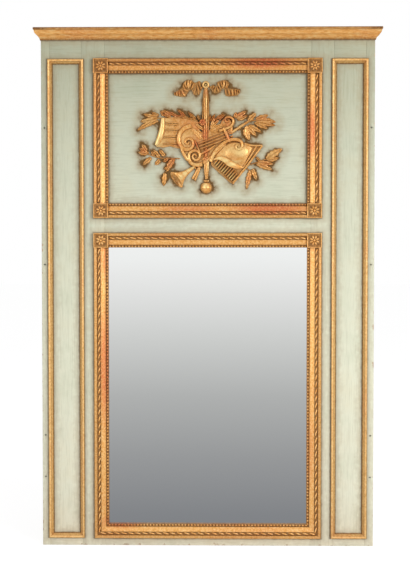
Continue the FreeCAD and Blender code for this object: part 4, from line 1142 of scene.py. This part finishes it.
@dataclass
class Carving:
    """A mesh of carved forms on the trophy panel, drawn in millimetres across, out and up."""

    name: str
    place: Vector
    toned_height: float = 8.5
    mesh: bmesh.types.BMesh = field(default_factory=bmesh.new)

    def spot(self, across: float, up: float, out: float) -> Vector:
        """A point of the carving's own axes: X across, -Y out of the panel, Z up."""
        return Vector((across, -out, up)) * MM

    def grow(self, edges: list, change: Matrix) -> tuple[list, list]:
        """Extrude a ring of edges and move the new ring.

        Args:
            edges: the ring.
            change: the matrix that moves it.

        Returns:
            The new ring's edges and corners.
        """
        grown = bmesh.ops.extrude_edge_only(self.mesh, edges=edges)["geom"]
        bmesh.ops.transform(self.mesh, matrix=change, verts=verts_of(grown))
        return [item for item in grown if isinstance(item, bmesh.types.BMEdge)], verts_of(grown)

    def sweep(self, rows: Sequence[Row], sides: int = 10, steps: int = 4, hollow: float = 0.0) -> None:
        """Run an ellipse along stations.

        Args:
            rows: the stations' values.
            sides: the corners of the ellipse.
            steps: how finely the path is drawn.
            hollow: how deep the last end is hollowed, in millimetres; 0 closes it flat.
        """
        path = between_stations(rows, steps)
        spots = [self.spot(station.across, station.up, station.out) for station in path]
        placings = []
        for number, station in enumerate(path):
            ahead = (spots[min(number + 1, len(spots) - 1)] - spots[max(number - 1, 0)]).normalized()
            side = ahead.cross(OUTWARD).normalized()
            ahead = Matrix.Rotation(math.radians(station.tilt), 3, side) @ ahead
            turn = Matrix((side, side.cross(ahead).normalized(), ahead)).transposed().to_4x4()
            size = Matrix.Diagonal((station.width * MM, station.rise * MM, 1.0, 1.0))
            placings.append(Matrix.Translation(spots[number]) @ turn @ size)
        if hollow:
            mouth = placings[-1]
            for share, depth in ((0.88, -0.3), (0.84, 0.5), (0.62, 0.45 * hollow), (0.3, hollow)):
                placings.append(mouth @ Matrix.Translation((0.0, 0.0, -depth * MM))
                                @ Matrix.Diagonal((share, share, 1.0, 1.0)))
        ring = bmesh.ops.create_circle(self.mesh, segments=sides, radius=1.0, matrix=placings[0])["verts"]
        edges = list({edge for vert in ring for edge in vert.link_edges})
        bmesh.ops.edgeloop_fill(self.mesh, edges=edges)
        for before, after in zip(placings, placings[1:]):
            edges, ring = self.grow(edges, after @ before.inverted())
        bmesh.ops.edgeloop_fill(self.mesh, edges=edges)

    def pillow(self, points: Sequence[Row], height: float, edge: float, smooth: int = 0,
               tone: float = 0.0) -> None:
        """Raise an outline out of the panel with a rounded edge.

        Args:
            points: the outline, across and up.
            height: how far it stands out.
            edge: how wide its rounded edge is.
            smooth: how many stretches of a smooth curve each side becomes; 0 keeps the corners.
            tone: its least share of umber, which darkens it as toning and painted shade between the forms on
                it.
        """
        umber = umber_layer(self.mesh)
        before = set(self.mesh.verts)
        if smooth:
            closed = [(x, z, 1, 1) for x, z in (points[-1], *points, points[0], points[1])]
            curve = between_stations(closed, smooth)[smooth:-2 * smooth]
            points = [(item.across, item.up) for item in curve]
        face = self.mesh.faces.new([self.mesh.verts.new(self.spot(x, z, -1.0)) for x, z in points])
        grown = bmesh.ops.extrude_face_region(self.mesh, geom=[face])["geom"]
        top = next(item for item in grown if isinstance(item, bmesh.types.BMFace))
        bmesh.ops.translate(self.mesh, vec=OUTWARD * (height + 1.0 - edge * 0.8) * MM, verts=verts_of(grown))
        top.normal_update()
        if top.normal.y > 0:
            top.normal_flip()
        for inwards, outwards in ((0.5, 0.55), (0.8, 0.25)):
            bmesh.ops.inset_region(self.mesh, faces=[top], thickness=edge * inwards * MM,
                                   depth=edge * outwards * MM)
        for vert in set(self.mesh.verts) - before:
            vert[umber] = tone

    def leaf(self, base: Row, tip: Row, width: float, rise: float, out: float = 0.0) -> None:
        """Carve a lobed leaf with a midrib and side veins.

        Args:
            base: where it leaves its stem.
            tip: its point.
            width: its greatest width.
            rise: how high its cheeks stand.
            out: how far its foot lies out of the panel, where it grows over something.
        """
        start, end = self.spot(*base, out), self.spot(*tip, out)
        ahead = end - start
        side = ahead.normalized().cross(OUTWARD)
        before = set(self.mesh.verts)
        bmesh.ops.create_grid(self.mesh, x_segments=18, y_segments=8, size=1.0)
        verts = [vert for vert in self.mesh.verts if vert not in before]
        bend = width * 0.3 * noise.noise(Vector((*base, width)))
        lobes = max(2, round(ahead.length / MM / 13))
        # `along` runs from 0 at the stem to 1 at the tip, `off` from -1 to 1 across. The rim is lobed, the
        # cheeks beside the midrib are full, and shallow veins lie between the lobes.
        for vert in verts:
            along, off = (vert.co.x + 1) / 2, vert.co.y
            lobe = abs(math.sin(math.pi * lobes * along ** 0.85 + 0.3 * (off > 0)))
            half = width / 2 * max(0.0, math.sin(math.pi * along ** 0.8)) ** 0.65 * (0.78 + 0.26 * lobe)
            cheek = math.sin(math.pi * min(1.0, abs(off))) * 0.7 + 0.3 * (1 - off * off)
            vein = -0.16 * (1 - lobe) * abs(off) ** 0.5
            height = rise * (0.32 + 0.6 * cheek * math.sin(math.pi * (0.15 + 0.75 * along)) + vein)
            curve = bend * math.sin(math.pi * along)
            vert.co = start + ahead * along + side * (half * off + curve) * MM + OUTWARD * height * MM
        rim = [edge for edge in self.mesh.edges if edge.is_boundary and edge.verts[0] in verts]
        edges, low = self.grow(rim, Matrix.Identity(4))
        for vert in low:
            vert.co.y = min(1.0, 1.0 - out) * MM
        bmesh.ops.holes_fill(self.mesh, edges=edges, sides=0)

    def ball(self, across: float, up: float, out: float, half: Row, turn: float = 0.0,
             fine: int = 16) -> None:
        """Add an ellipsoid.

        Args:
            across: its middle.
            up: its middle.
            out: how far its middle lies out of the panel.
            half: its half sizes across, out and up before it is turned.
            turn: its turn in the panel's plane in degrees, anticlockwise from the front.
            fine: how many segments it has.
        """
        place = Matrix.Translation(self.spot(across, up, out)) @ Matrix.Rotation(math.radians(-turn), 4, "Y")
        ellipsoid(self.mesh, place, half, fine, fine // 2)

    def finish(self, node: str, gilding: bpy.types.Material) -> bpy.types.Object:
        """Cut the carving off behind the panel's face and make its piece."""
        bmesh.ops.remove_doubles(self.mesh, verts=self.mesh.verts, dist=0.02 * MM)
        bmesh.ops.dissolve_degenerate(self.mesh, edges=self.mesh.edges, dist=0.005 * MM)
        cut_away(self.mesh, (0, 0.9 * MM, 0), (0, 1, 0))
        sharpen(self.mesh, degrees=60)
        umber = umber_layer(self.mesh)
        # Parts that stand low, near the panel, take more umber: toning and painted shade under the raised
        # forms at once.
        for vert in self.mesh.verts:
            low = max(0.0, 0.95 - max(0.0, -vert.co.y) / (self.toned_height * MM)) ** 1.2
            vert[umber] = max(vert[umber], low)
        rub(self.mesh, TROPHY_RUBS)
        rub(self.mesh, TROPHY_PAINTED_HIGHLIGHTS, PAINTED_HIGHLIGHT_LAYER)
        bmesh.ops.transform(self.mesh, matrix=Matrix.Translation(self.place), verts=self.mesh.verts)
        return finish_piece(self.mesh, self.name, (gilding,), node)


@dataclass
class Trophy:
    """The carved trophy: ribbon bow, strap, music sheet, lyre, pan pipe, horn and leaf sprays."""

    gilding: bpy.types.Material
    face: float
    middle_height: float
    shift: tuple[float, float] = (-2.2 * MM, 2.4 * MM)
    ring_middle: tuple[float, float] = (-3.6, 162.8)
    ring_radius: float = 8.4
    knob_middle: tuple[float, float] = (-13.5, 47)

    def strap(self, work: Carving) -> None:
        """Carve the strap that it hangs from, with its ring, its knob, the drop and the ball."""
        work.sweep([(-3.4, 156, 6.4, 4.6), (-3.6, 130, 9, 5), (-4, 104, 11, 5), (-4, 84, 11.6, 5.2),
                    (-3.5, 62, 12.6, 5.4), (-2, 24, 12, 6, 1.5), (-3, -20, 10, 6, 2), (-4, -58, 9, 6, 2)])
        spread = (0.45, 0.85, 1.05, 1.0, 1.15, 1.1, 0.9, 0.7)
        levels = (154, 130, 104, 84, 62, 24, -20, -58)
        outs = (4.6, 5.0, 5.0, 5.2, 5.4, 6.4, 7.0, 7.0)
        for offset, width in ((-7.4, 1.9), (-3.0, 2.3), (1.6, 2.6), (6.4, 1.9)):
            work.sweep([(-3.8 + offset * share + 0.8 * noise.noise(Vector((offset, up / 17, 3))), up,
                         width * (0.75 + 0.25 * share), 3.2, out)
                        for share, up, out in zip(spread, levels, outs)], sides=8)
        work.sweep([(*around(self.ring_middle, self.ring_radius, turn), 3.5, 4.4, 6.0)
                    for turn in range(0, 361, 30)], sides=10, steps=2)
        work.ball(*self.ring_middle, 3.0, (5.4, 3.0, 5.4))
        work.ball(*self.knob_middle, 8, (11.0, 4.6, 10.4))
        for turn in range(0, 360, 60):
            work.ball(*around(self.knob_middle, 6, turn), 11, (4.6, 3.4, 3.4), turn, 10)
        work.ball(*self.knob_middle, 12.5, (2.8, 2.6, 2.8), 0.0, 10)
        work.sweep([(-3, -60, 12.4, 8.6), (-2, -80, 10.6, 8), (-1.5, -100, 8, 7), (-1.8, -128, 5, 6)])
        for offset in (-0.6, 0.0, 0.6):
            work.sweep([(-3 + 12 * offset, -62, 2.6, 2.4, 7), (-1.5 + 8 * offset, -100, 1.9, 2, 6),
                        (-1.8 + 4 * offset, -128, 1.1, 1.4, 5)])
        work.sweep([(-9.5, -133, 2, 3, 4), (-2, -133.5, 3.2, 5, 4.4), (5.5, -133, 2, 3, 4)])
        work.ball(-2, -154, 0, (18.4, 18.4, 18.4), 0.0, 28)
        work.sweep([(-44, -127, 4.6, 5, 2), (-36, -112, 5, 5.4, 2.5), (-28, -96, 4.6, 5, 3),
                    (-24, -84, 4, 4, 3)])
        work.sweep([(-37, -131, 3.4, 4, 3), (-29, -112, 3.8, 4.6, 3.4), (-21, -92, 3.4, 4, 4)])

    def ribbon(self, work: Carving) -> None:
        """Carve the bow: a puckered loop and a tail on either side of the ring."""
        work.pillow([(-13.2, 159.8), (-20.7, 173.8), (-28.2, 173.1), (-37.9, 170.1), (-48.6, 177.4),
                     (-59.4, 178.1), (-69, 173.8), (-74.4, 164.1), (-75.5, 155.5), (-87.3, 146.9),
                     (-100.2, 139.4), (-100.2, 131.4), (-89.5, 128), (-68, 127.1), (-56.8, 143.1),
                     (-46.9, 148), (-41.1, 133.6), (-25, 132.7), (-17.5, 145.8)], 2.4, 1.2, 3, 0.6)
        work.pillow([(7.2, 154.4), (18, 162.4), (26.6, 158.7), (33, 171), (43.8, 176.1), (56.7, 177),
                     (66.3, 171), (69.1, 164.1), (65.3, 153.4), (80.3, 150.8), (98.6, 149.1),
                     (101.8, 142.6), (98.6, 134.5), (86.8, 129.3), (58.8, 128.4), (54.5, 145.8),
                     (48.1, 150.8), (37.3, 138.3), (21.2, 137.9), (13.7, 148)], 2.4, 1.2, 3, 0.6)
        for *points, width in FOLDS:
            work.sweep(ridge(points, width), sides=8)

    def music_sheet(self, work: Carving) -> None:
        """Carve the open sheet of music, rolled up along its left edge, with its staves."""
        work.toned_height = 5.4
        work.pillow([(-139, 61), (-144, 30), (-149, 3), (-162, -20), (-156, -27), (-135, -30), (-114, -26),
                     (-91, -32), (-54, -36), (-22, -8), (-22, 48), (-68, 60), (-104, 64)], 4.6, 1.5)
        work.sweep([(-136, 61, 6, 6, 2.5), (-138, 30, 9.4, 8, 2.6), (-144, 5, 10.4, 8.4, 2.6),
                    (-156, -21, 6.6, 6, 2.5)], sides=16)
        for height in (46, 40.5, 25, 19.5, 3, -2.5, -18, -23.5):
            slope = (height + 30) / 90
            work.sweep([(-131 - 8 * (1 - slope), height + 1, 0.8, 1.4, 4.8),
                        (-110, height + 1.5, 2.2, 3.0, 5.2), (-88, height - 1.0, 1.6, 2.2, 4.8)],
                       sides=8, steps=3)
        for across, up in ((-118, 38), (-106, 44), (-97, 36), (-121, 16), (-110, 6), (-100, 22), (-95, 8),
                           (-126, -10)):
            work.ball(across, up, 5.0, (2.6, 2.2, 2.0), 20.0, 8)

    def lyre(self, work: Carving) -> None:
        """Carve the lyre: two scrolled arms, a yoke with pegs, three strings and a bridge."""
        work.pillow([(-49, 34), (-70, 27), (-84, 8), (-86, -13), (-77, -33), (-66, -49), (-58, -70),
                     (-34, -86), (-9, -80), (12, -62), (43, -35), (58, -24), (66, 4), (78, 18), (78, 46),
                     (60, 64), (46, 52), (38, 38), (3, 22), (-26, 20)], 7.2, 1.6, 3, 0.16)
        work.pillow([(-31, -13), (-19, -42), (62, -9), (56, 21)], 8.2, 0.6, 0, 0.6)
        upper = [(-49, 37), (-69, 30), (-83, 13), (-87, -7), (-81, -25), (-67, -36), (-52, -35), (-42.5, -24),
                 (-44, -10), (-55, -3), (-65, -8), (-66, -16), (-59, -19.5), (-55.5, -14)]
        work.sweep(curl(upper, 8.2, 3.6))
        work.sweep([(-82, -26, 4, 7, 5), (-74, -44, 6, 8.5, 5), (-65, -60, 6.5, 9, 5), (-57, -71, 4, 7, 5)])
        lower = [(-14, -81), (-32, -84), (-48, -78), (-55, -63), (-53, -47), (-37, -39), (-24, -46),
                 (-23, -60), (-32, -69), (-42, -65), (-44, -55), (-37, -51), (-32, -57)]
        work.sweep(curl(lower, 7.6, 3.2))
        right = [(38, 21), (57, 27), (72, 34), (81, 46), (79, 58), (70, 63), (60, 62), (56, 55), (61, 49),
                 (69, 52)]
        work.sweep(curl(right, 5.6, 3))
        work.sweep([(-12, -78, 5, 7, 5), (12, -60, 5.6, 8, 5), (36, -38, 5, 7.5, 5), (52, -22, 4, 6, 4.5)])
        for number in range(3):
            low, high = Vector((-27, -19)), Vector((58, 14))
            shift = Vector((3.2, -8.0)) * number
            work.sweep([(*(place + shift), 1.7, 2.4, out)
                        for place, out in ((low, 12.6), ((low + high) / 2, 13), (high, 12.6))],
                       sides=8, steps=3)
        work.sweep([(-38, -8, 3, 6, 9), (-30, -26, 3.6, 7, 9.4), (-22, -44, 3, 6, 9)])
        work.sweep([(52, 30, 4.4, 7, 8), (61, 9, 6.0, 9, 8.4), (70, -12, 4.4, 7, 8)])
        for across, up in ((62, 21), (67, 11), (71, 1)):
            work.sweep([(across, up, 2.2, 3.4, 8), (across + 5, up + 2.3, 3, 4.4, 8.4),
                        (across + 10, up + 4.6, 2, 3, 8)], sides=8)
        work.sweep([(-22, -52, 3.4, 6, 8), (4, -38, 4.4, 7.5, 8), (26, -22, 3.2, 6, 7)])
        for base, tip, width in LYRE_LEAVES:
            work.leaf(base, tip, width, 5.6, 5.0)

    def pan_pipe(self, work: Carving) -> None:
        """Carve the pan pipe: a row of tubes between two bars, under a domed drape with an arched border."""
        work.pillow([(13, -77), (24, -53), (49, -26), (71, -10), (106, -10), (128, -22), (160, -25),
                     (172, -24), (116, -95), (81, -142), (70, -138), (14, -86)], 4.6, 1.5, 0, 0.55)
        work.pillow([(20, -66), (34, -44), (56, -24), (80, -14), (112, -16), (140, -30), (128, -60),
                     (108, -96), (88, -94), (70, -86), (54, -75), (38, -68)], 7.4, 3.0, 2)
        arch = [(12, -74), (17, -58), (30, -37), (51, -16), (72, -6), (93, -6), (106, -13), (109, -26),
                (102, -35), (92, -34), (89.5, -26), (95, -21)]
        work.sweep(curl(arch, 7.2, 3.4))
        work.ball(92, -47, 3.5, (41, 7.4, 27), 8.0, 32)
        work.sweep([(17, -68, 4, 4, 5), (38, -63, 7, 6, 6.5), (54, -68, 9.5, 7, 7), (71, -80, 11, 7.4, 7),
                    (90, -88, 9, 6.4, 6.5), (110, -92, 4, 4, 5)], sides=16)
        for number in range(11):
            across, up = 22 + 6.0 * number, -81 - 5.4 * number
            reach = 17 + 9 * math.sin(math.pi * number / 10)
            work.sweep([(across - 1.5, up - 1.8, 2.7, 5.4, 6.6),
                        (across + reach * 0.45, up + reach * 0.5, 2.7, 5.6, 6.8),
                        (across + reach * 0.8, up + reach * 0.95, 2.3, 4.6, 5.0)], sides=8, steps=2)
        work.sweep([(171, -24, 3.4, 5, 5), (126, -84, 4, 6, 5.4), (80, -141, 3.2, 5, 5)])
        work.sweep([(153, -27, 3, 4.6, 5), (132, -62, 3.4, 5, 5.4), (111, -94, 2.8, 4.6, 5)])
        work.sweep([(116, -18, 3, 4.6, 5), (140, -24, 3.4, 5, 5), (171, -24, 3, 4.6, 5)])

    def horn(self, work: Carving) -> None:
        """Carve the horn, its bell to the lower left."""
        work.sweep([(-20, -77, 4, 5, 4), (-32, -85, 4.6, 6, 4.5), (-44, -93, 5.4, 6.5, 4.6),
                    (-58, -103, 7.6, 7.6, 4.6), (-70, -112, 11, 8.6, 4.2), (-80, -119, 16.5, 9.4, 3.6, 15),
                    (-88, -125, 23, 10, 3.2, 35), (-94, -129.5, 29, 10.6, 4.4, 58)], sides=28, hollow=3.4)
        work.sweep([(-40, -84, 2, 3, 8), (-36, -93, 2.4, 4.4, 9), (-32, -97, 2, 3, 7)], sides=8)

    def leaves(self, work: Carving) -> None:
        """Carve the leaf sprays, their stems and the small beaded pipe."""
        for base, tip, width in SPRAYS:
            work.leaf(base, tip, LEAF_SPREAD * width, 7.4)
        for stem in STEMS:
            work.sweep([(x, z, 1.9, 3.4, 1.8) for x, z in stem], sides=8)
        work.sweep([(74, 14, 4.6, 6, 3), (98, 31, 4.4, 6, 3), (128, 50, 3.6, 5.4, 3)], sides=12)
        for across, up, size in ((84, 21.5, 5.4), (103, 35, 5.2), (113, 41, 5.2), (121, 46, 5.0),
                                 (129, 51, 4.6)):
            work.ball(across, up, 3.4, (2.0, 6.2, size), 35.0, 12)

    def build(self) -> list[bpy.types.Object]:
        """Build all of it.

        Returns:
            Its pieces.
        """
        place = Vector((self.shift[0], self.face, self.middle_height + self.shift[1]))
        pieces = []
        for carve in (self.strap, self.ribbon, self.music_sheet, self.lyre, self.pan_pipe, self.horn,
                      self.leaves):
            node = f"trophy_{carve.__name__}"
            work = Carving(f"{node}_carved", place)
            carve(work)
            pieces.append(work.finish(node, self.gilding))
        return pieces


# ---------------------------------------------------------------- studio
@dataclass(frozen=True)
class Studio:
    """The floor, the plain light, what the glass mirrors, and the camera."""

    distance: float = 4.5
    camera_height: float = 1.0
    camera_side: float = 0.079
    aim: tuple[float, float] = (-0.0081, 0.8125)
    focal: float = 1453.0
    sensor_height: float = 24.0
    daylight: float = 0.54
    floor_glow: float = 0.72
    lit_height: float = 0.85
    key_power: float = 190.0
    fill_power: float = 48.0
    sheen_power: float = 46.0

    def floor(self) -> None:
        """Lay a white floor that keeps a faint shadow."""
        mesh = bmesh.new()
        bmesh.ops.create_grid(mesh, x_segments=1, y_segments=1, size=20.0,
                              matrix=Matrix.Translation((0.0, 0.0, -0.5 * MM)))
        data = bpy.data.meshes.new("studio_floor")
        mesh.to_mesh(data)
        mesh.free()
        floor = place_object("studio_floor", data)
        material, add = new_material("white_paper_floor")
        ray = add("LightPath", out="Is Camera Ray")
        glow = add("Math", ray, self.floor_glow, operation="MULTIPLY")
        data.materials.append(coat(material, {
            "Base Color": (0.5, 0.5, 0.5, 1.0), "Roughness": 1.0, "Specular IOR Level": 0.0,
            "Emission Color": "#FFFFFF", "Emission Strength": glow}))
        floor.visible_glossy = False

    def world(self) -> None:
        """Light everything evenly, stay white behind, and give the glass a room that darkens downwards."""
        world = bpy.data.worlds.new("studio")
        bpy.context.scene.world = world
        world.use_nodes = True
        add = partial(add_node, world.node_tree)
        ray = add("LightPath").node.outputs
        where = add("TexCoord", out="Generated")
        place = add("SeparateXYZ", where).node.outputs
        level = add("MapRange", place["Z"], -0.6, 0.6, 0.0, 1.0)
        room = add("ValToRGB", level, stops=(
            (0.0, "#FFFAF0"), (0.1, "#F4EEE4"), (0.167, "#C6C1B9"), (0.292, "#7A7C80"), (0.335, "#84868A"),
            (0.368, "#9A9B9D"), (0.402, "#B2B3B3"), (0.436, "#D0D1D0"), (0.470, "#EBEBEB"),
            (0.482, "#F2F3F3"), (0.496, "#F4F4F4"), (0.52, "#FFFFFF"), (0.6, "#F4F2EE"), (0.72, "#B4B2AE"),
            (0.85, "#C8C6C2"), (1.0, "#F0EEEA")))
        plain = add("Mix", ray["Is Glossy Ray"], (self.daylight,) * 3 + (1.0,), room, **LAY)
        clear = add("Math", ray["Is Camera Ray"], ray["Is Transmission Ray"], operation="MAXIMUM")
        seen = add("Mix", clear, plain, "#FFFFFF", **LAY)
        ground = world.node_tree.nodes["Background"].inputs
        feed(ground["Color"], seen)
        feed(ground["Strength"], 1.0)

    def aimed(self, name: str, data: bpy.types.ID, place: Row, target: Row) -> bpy.types.Object:
        """Put a lamp or camera in the scene and point it at something."""
        piece = place_object(name, data)
        piece.location = Vector(place)
        piece.rotation_euler = (Vector(target) - Vector(place)).to_track_quat("-Z", "Y").to_euler()
        return piece

    def lamp(self, name: str, place: Row, target: Row, size: float, power: float, matt: bool = True,
             sheen: bool = True) -> None:
        """Hang a square lamp.

        Args:
            name: its name.
            place: where it hangs.
            target: what it points at.
            size: its width.
            power: its power in watts.
            matt: whether it lights matt surfaces.
            sheen: whether glossy surfaces show it.
        """
        light = bpy.data.lights.new(name, "AREA")
        light.size = size
        light.energy = power
        piece = self.aimed(name, light, place, target)
        piece.visible_diffuse = matt
        piece.visible_glossy = sheen

    def camera(self, front: float) -> None:
        """Set the camera up as in the photo.

        Args:
            front: the Y of the front of the stiles.
        """
        data = bpy.data.cameras.new("camera")
        data.sensor_fit = "VERTICAL"
        data.sensor_height = self.sensor_height
        data.lens = self.focal * self.sensor_height / IMAGE_HEIGHT
        place = (self.camera_side, front - self.distance, self.camera_height)
        bpy.context.scene.camera = self.aimed("camera", data, place, (self.aim[0], front, self.aim[1]))

    def build(self, front: float) -> None:
        """Set the studio up."""
        self.floor()
        self.world()
        target = (0.0, front, self.lit_height)
        self.lamp("key", (3.1, -3.9, 1.5), target, 3.0, self.key_power, sheen=False)
        self.lamp("key_sheen", (2.7, -3.6, 1.7), target, 1.4, self.sheen_power, matt=False)
        self.lamp("fill", (-2.9, -3.3, 1.3), target, 2.6, self.fill_power)
        self.camera(front)
        bpy.context.scene.view_settings.view_transform = "Standard"


# ---------------------------------------------------------------- the whole
def dress(node: str, material: bpy.types.Material) -> None:
    """Give a node of the frame another material in its slots."""
    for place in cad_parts[node].material_slots:
        place.material = material


def band_round(prefix: str, width: float, tuck: float = 0.0, aside: float = 0.0) -> Band:
    """Find the band that a frame of moulding covers from its strips' boxes.

    Args:
        prefix: the start of the strips' node names.
        width: the width of the band.
        tuck: how far the band stops short of the moulding's edges, so that less of the dirt and painted shade
            shows beside it.
        aside: how far it lies to the right of the moulding; below zero it lies to the left, so that more
            painted shade shows on the left of each strip, the side away from the light.

    Returns:
        The band.
    """
    low, high = corners_of(*(f"{prefix}_{edge.name.lower()}" for edge in Edge))
    middle = ((low.x + high.x) / 2 + aside, (low.z + high.z) / 2)
    outer = ((high.x - low.x) / 2 - tuck, (high.z - low.z) / 2 - tuck)
    width -= 2 * tuck
    return Band(middle, outer, (outer[0] - width, outer[1] - width))


def make_finishes(half_width: float) -> Finishes:
    """Make the materials.

    Args:
        half_width: half the width of the case.

    Returns:
        The finishes.
    """
    low, high = corners_of("cornice_front")
    foot = low.z + CORNICE_FOOT
    # Under the cornice's foot the paint gets the dark line and brown: dirt and painted shade together.
    under_cornice = Band((0.0, (foot + high.z) / 2), (2 * half_width, (high.z - foot) / 2),
                         (-2 * half_width, -1.0))
    side_bands = [band_round(f"{side}_panel_moulding", SIDE_SEEN, SIDE_TUCK, SIDE_SHADE_ASIDE)
                  for side in ("left", "right")]
    bands = (under_cornice, band_round("trophy_moulding", MAIN_WIDTH),
             band_round("mirror_moulding", MAIN_WIDTH), *side_bands)
    height = corners_of("outer_stile_left")[1].z
    paint = {grain: Distemper(f"grey_green_distemper_{grain.name.lower()}", grain, bands, height,
                              half_width).material() for grain in Grain}
    pine = {grain: AgedPine(f"aged_pine_{grain.name.lower()}", grain).material() for grain in Grain}
    gildings = (
        WaterGilding(),
        WaterGilding("dusty_water_gilding", "#EFBC78", "#FBD898", "#CF9A54", umber="#5A3914", metal=0.58,
                     height_shade="#F6F2EC"),
        WaterGilding("streaked_water_gilding", "#F8BE70", "#FFE2A4", "#CC8E46", mottle=4.5 * MM,
                     stretch=(0.25, 1.0, 1.0)),
        WaterGilding("burnished_water_gilding", metal=0.7, roughness=0.34, grit=0.1),
    )
    return Finishes(paint, pine, *(gilding.material() for gilding in gildings), SilveredGlass().material(),
                    ForgedIron().material())


def main() -> None:
    """Build the looks over the frame."""
    logging.basicConfig(level=logging.INFO, format="%(name)s: %(message)s")
    noise.seed_set(WAVER_SEED)
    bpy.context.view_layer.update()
    stile_low, stile_high = corners_of("outer_stile_right")
    front, half_width = stile_low.y, stile_high.x
    panel_low, panel_high = corners_of("trophy_panel")
    finishes = make_finishes(half_width)
    carvings = Trophy(finishes.burnished_gilding, panel_low.y, (panel_low.z + panel_high.z) / 2).build()
    Boards(finishes, half_width, carvings).build()
    Frames(finishes, front).build()
    Cornice(finishes, front, half_width, corners_of("cornice_front")[0].z).build()
    dress("mirror_glass", finishes.glass)
    dress("glass_blocks", finishes.pine[Grain.LEVEL])
    for node in ("nails", "screws", "hanger_strap_left", "hanger_strap_right", "d_ring_left", "d_ring_right"):
        dress(node, finishes.iron)
    Studio().build(front)


if __name__ == "__main__":
    main()
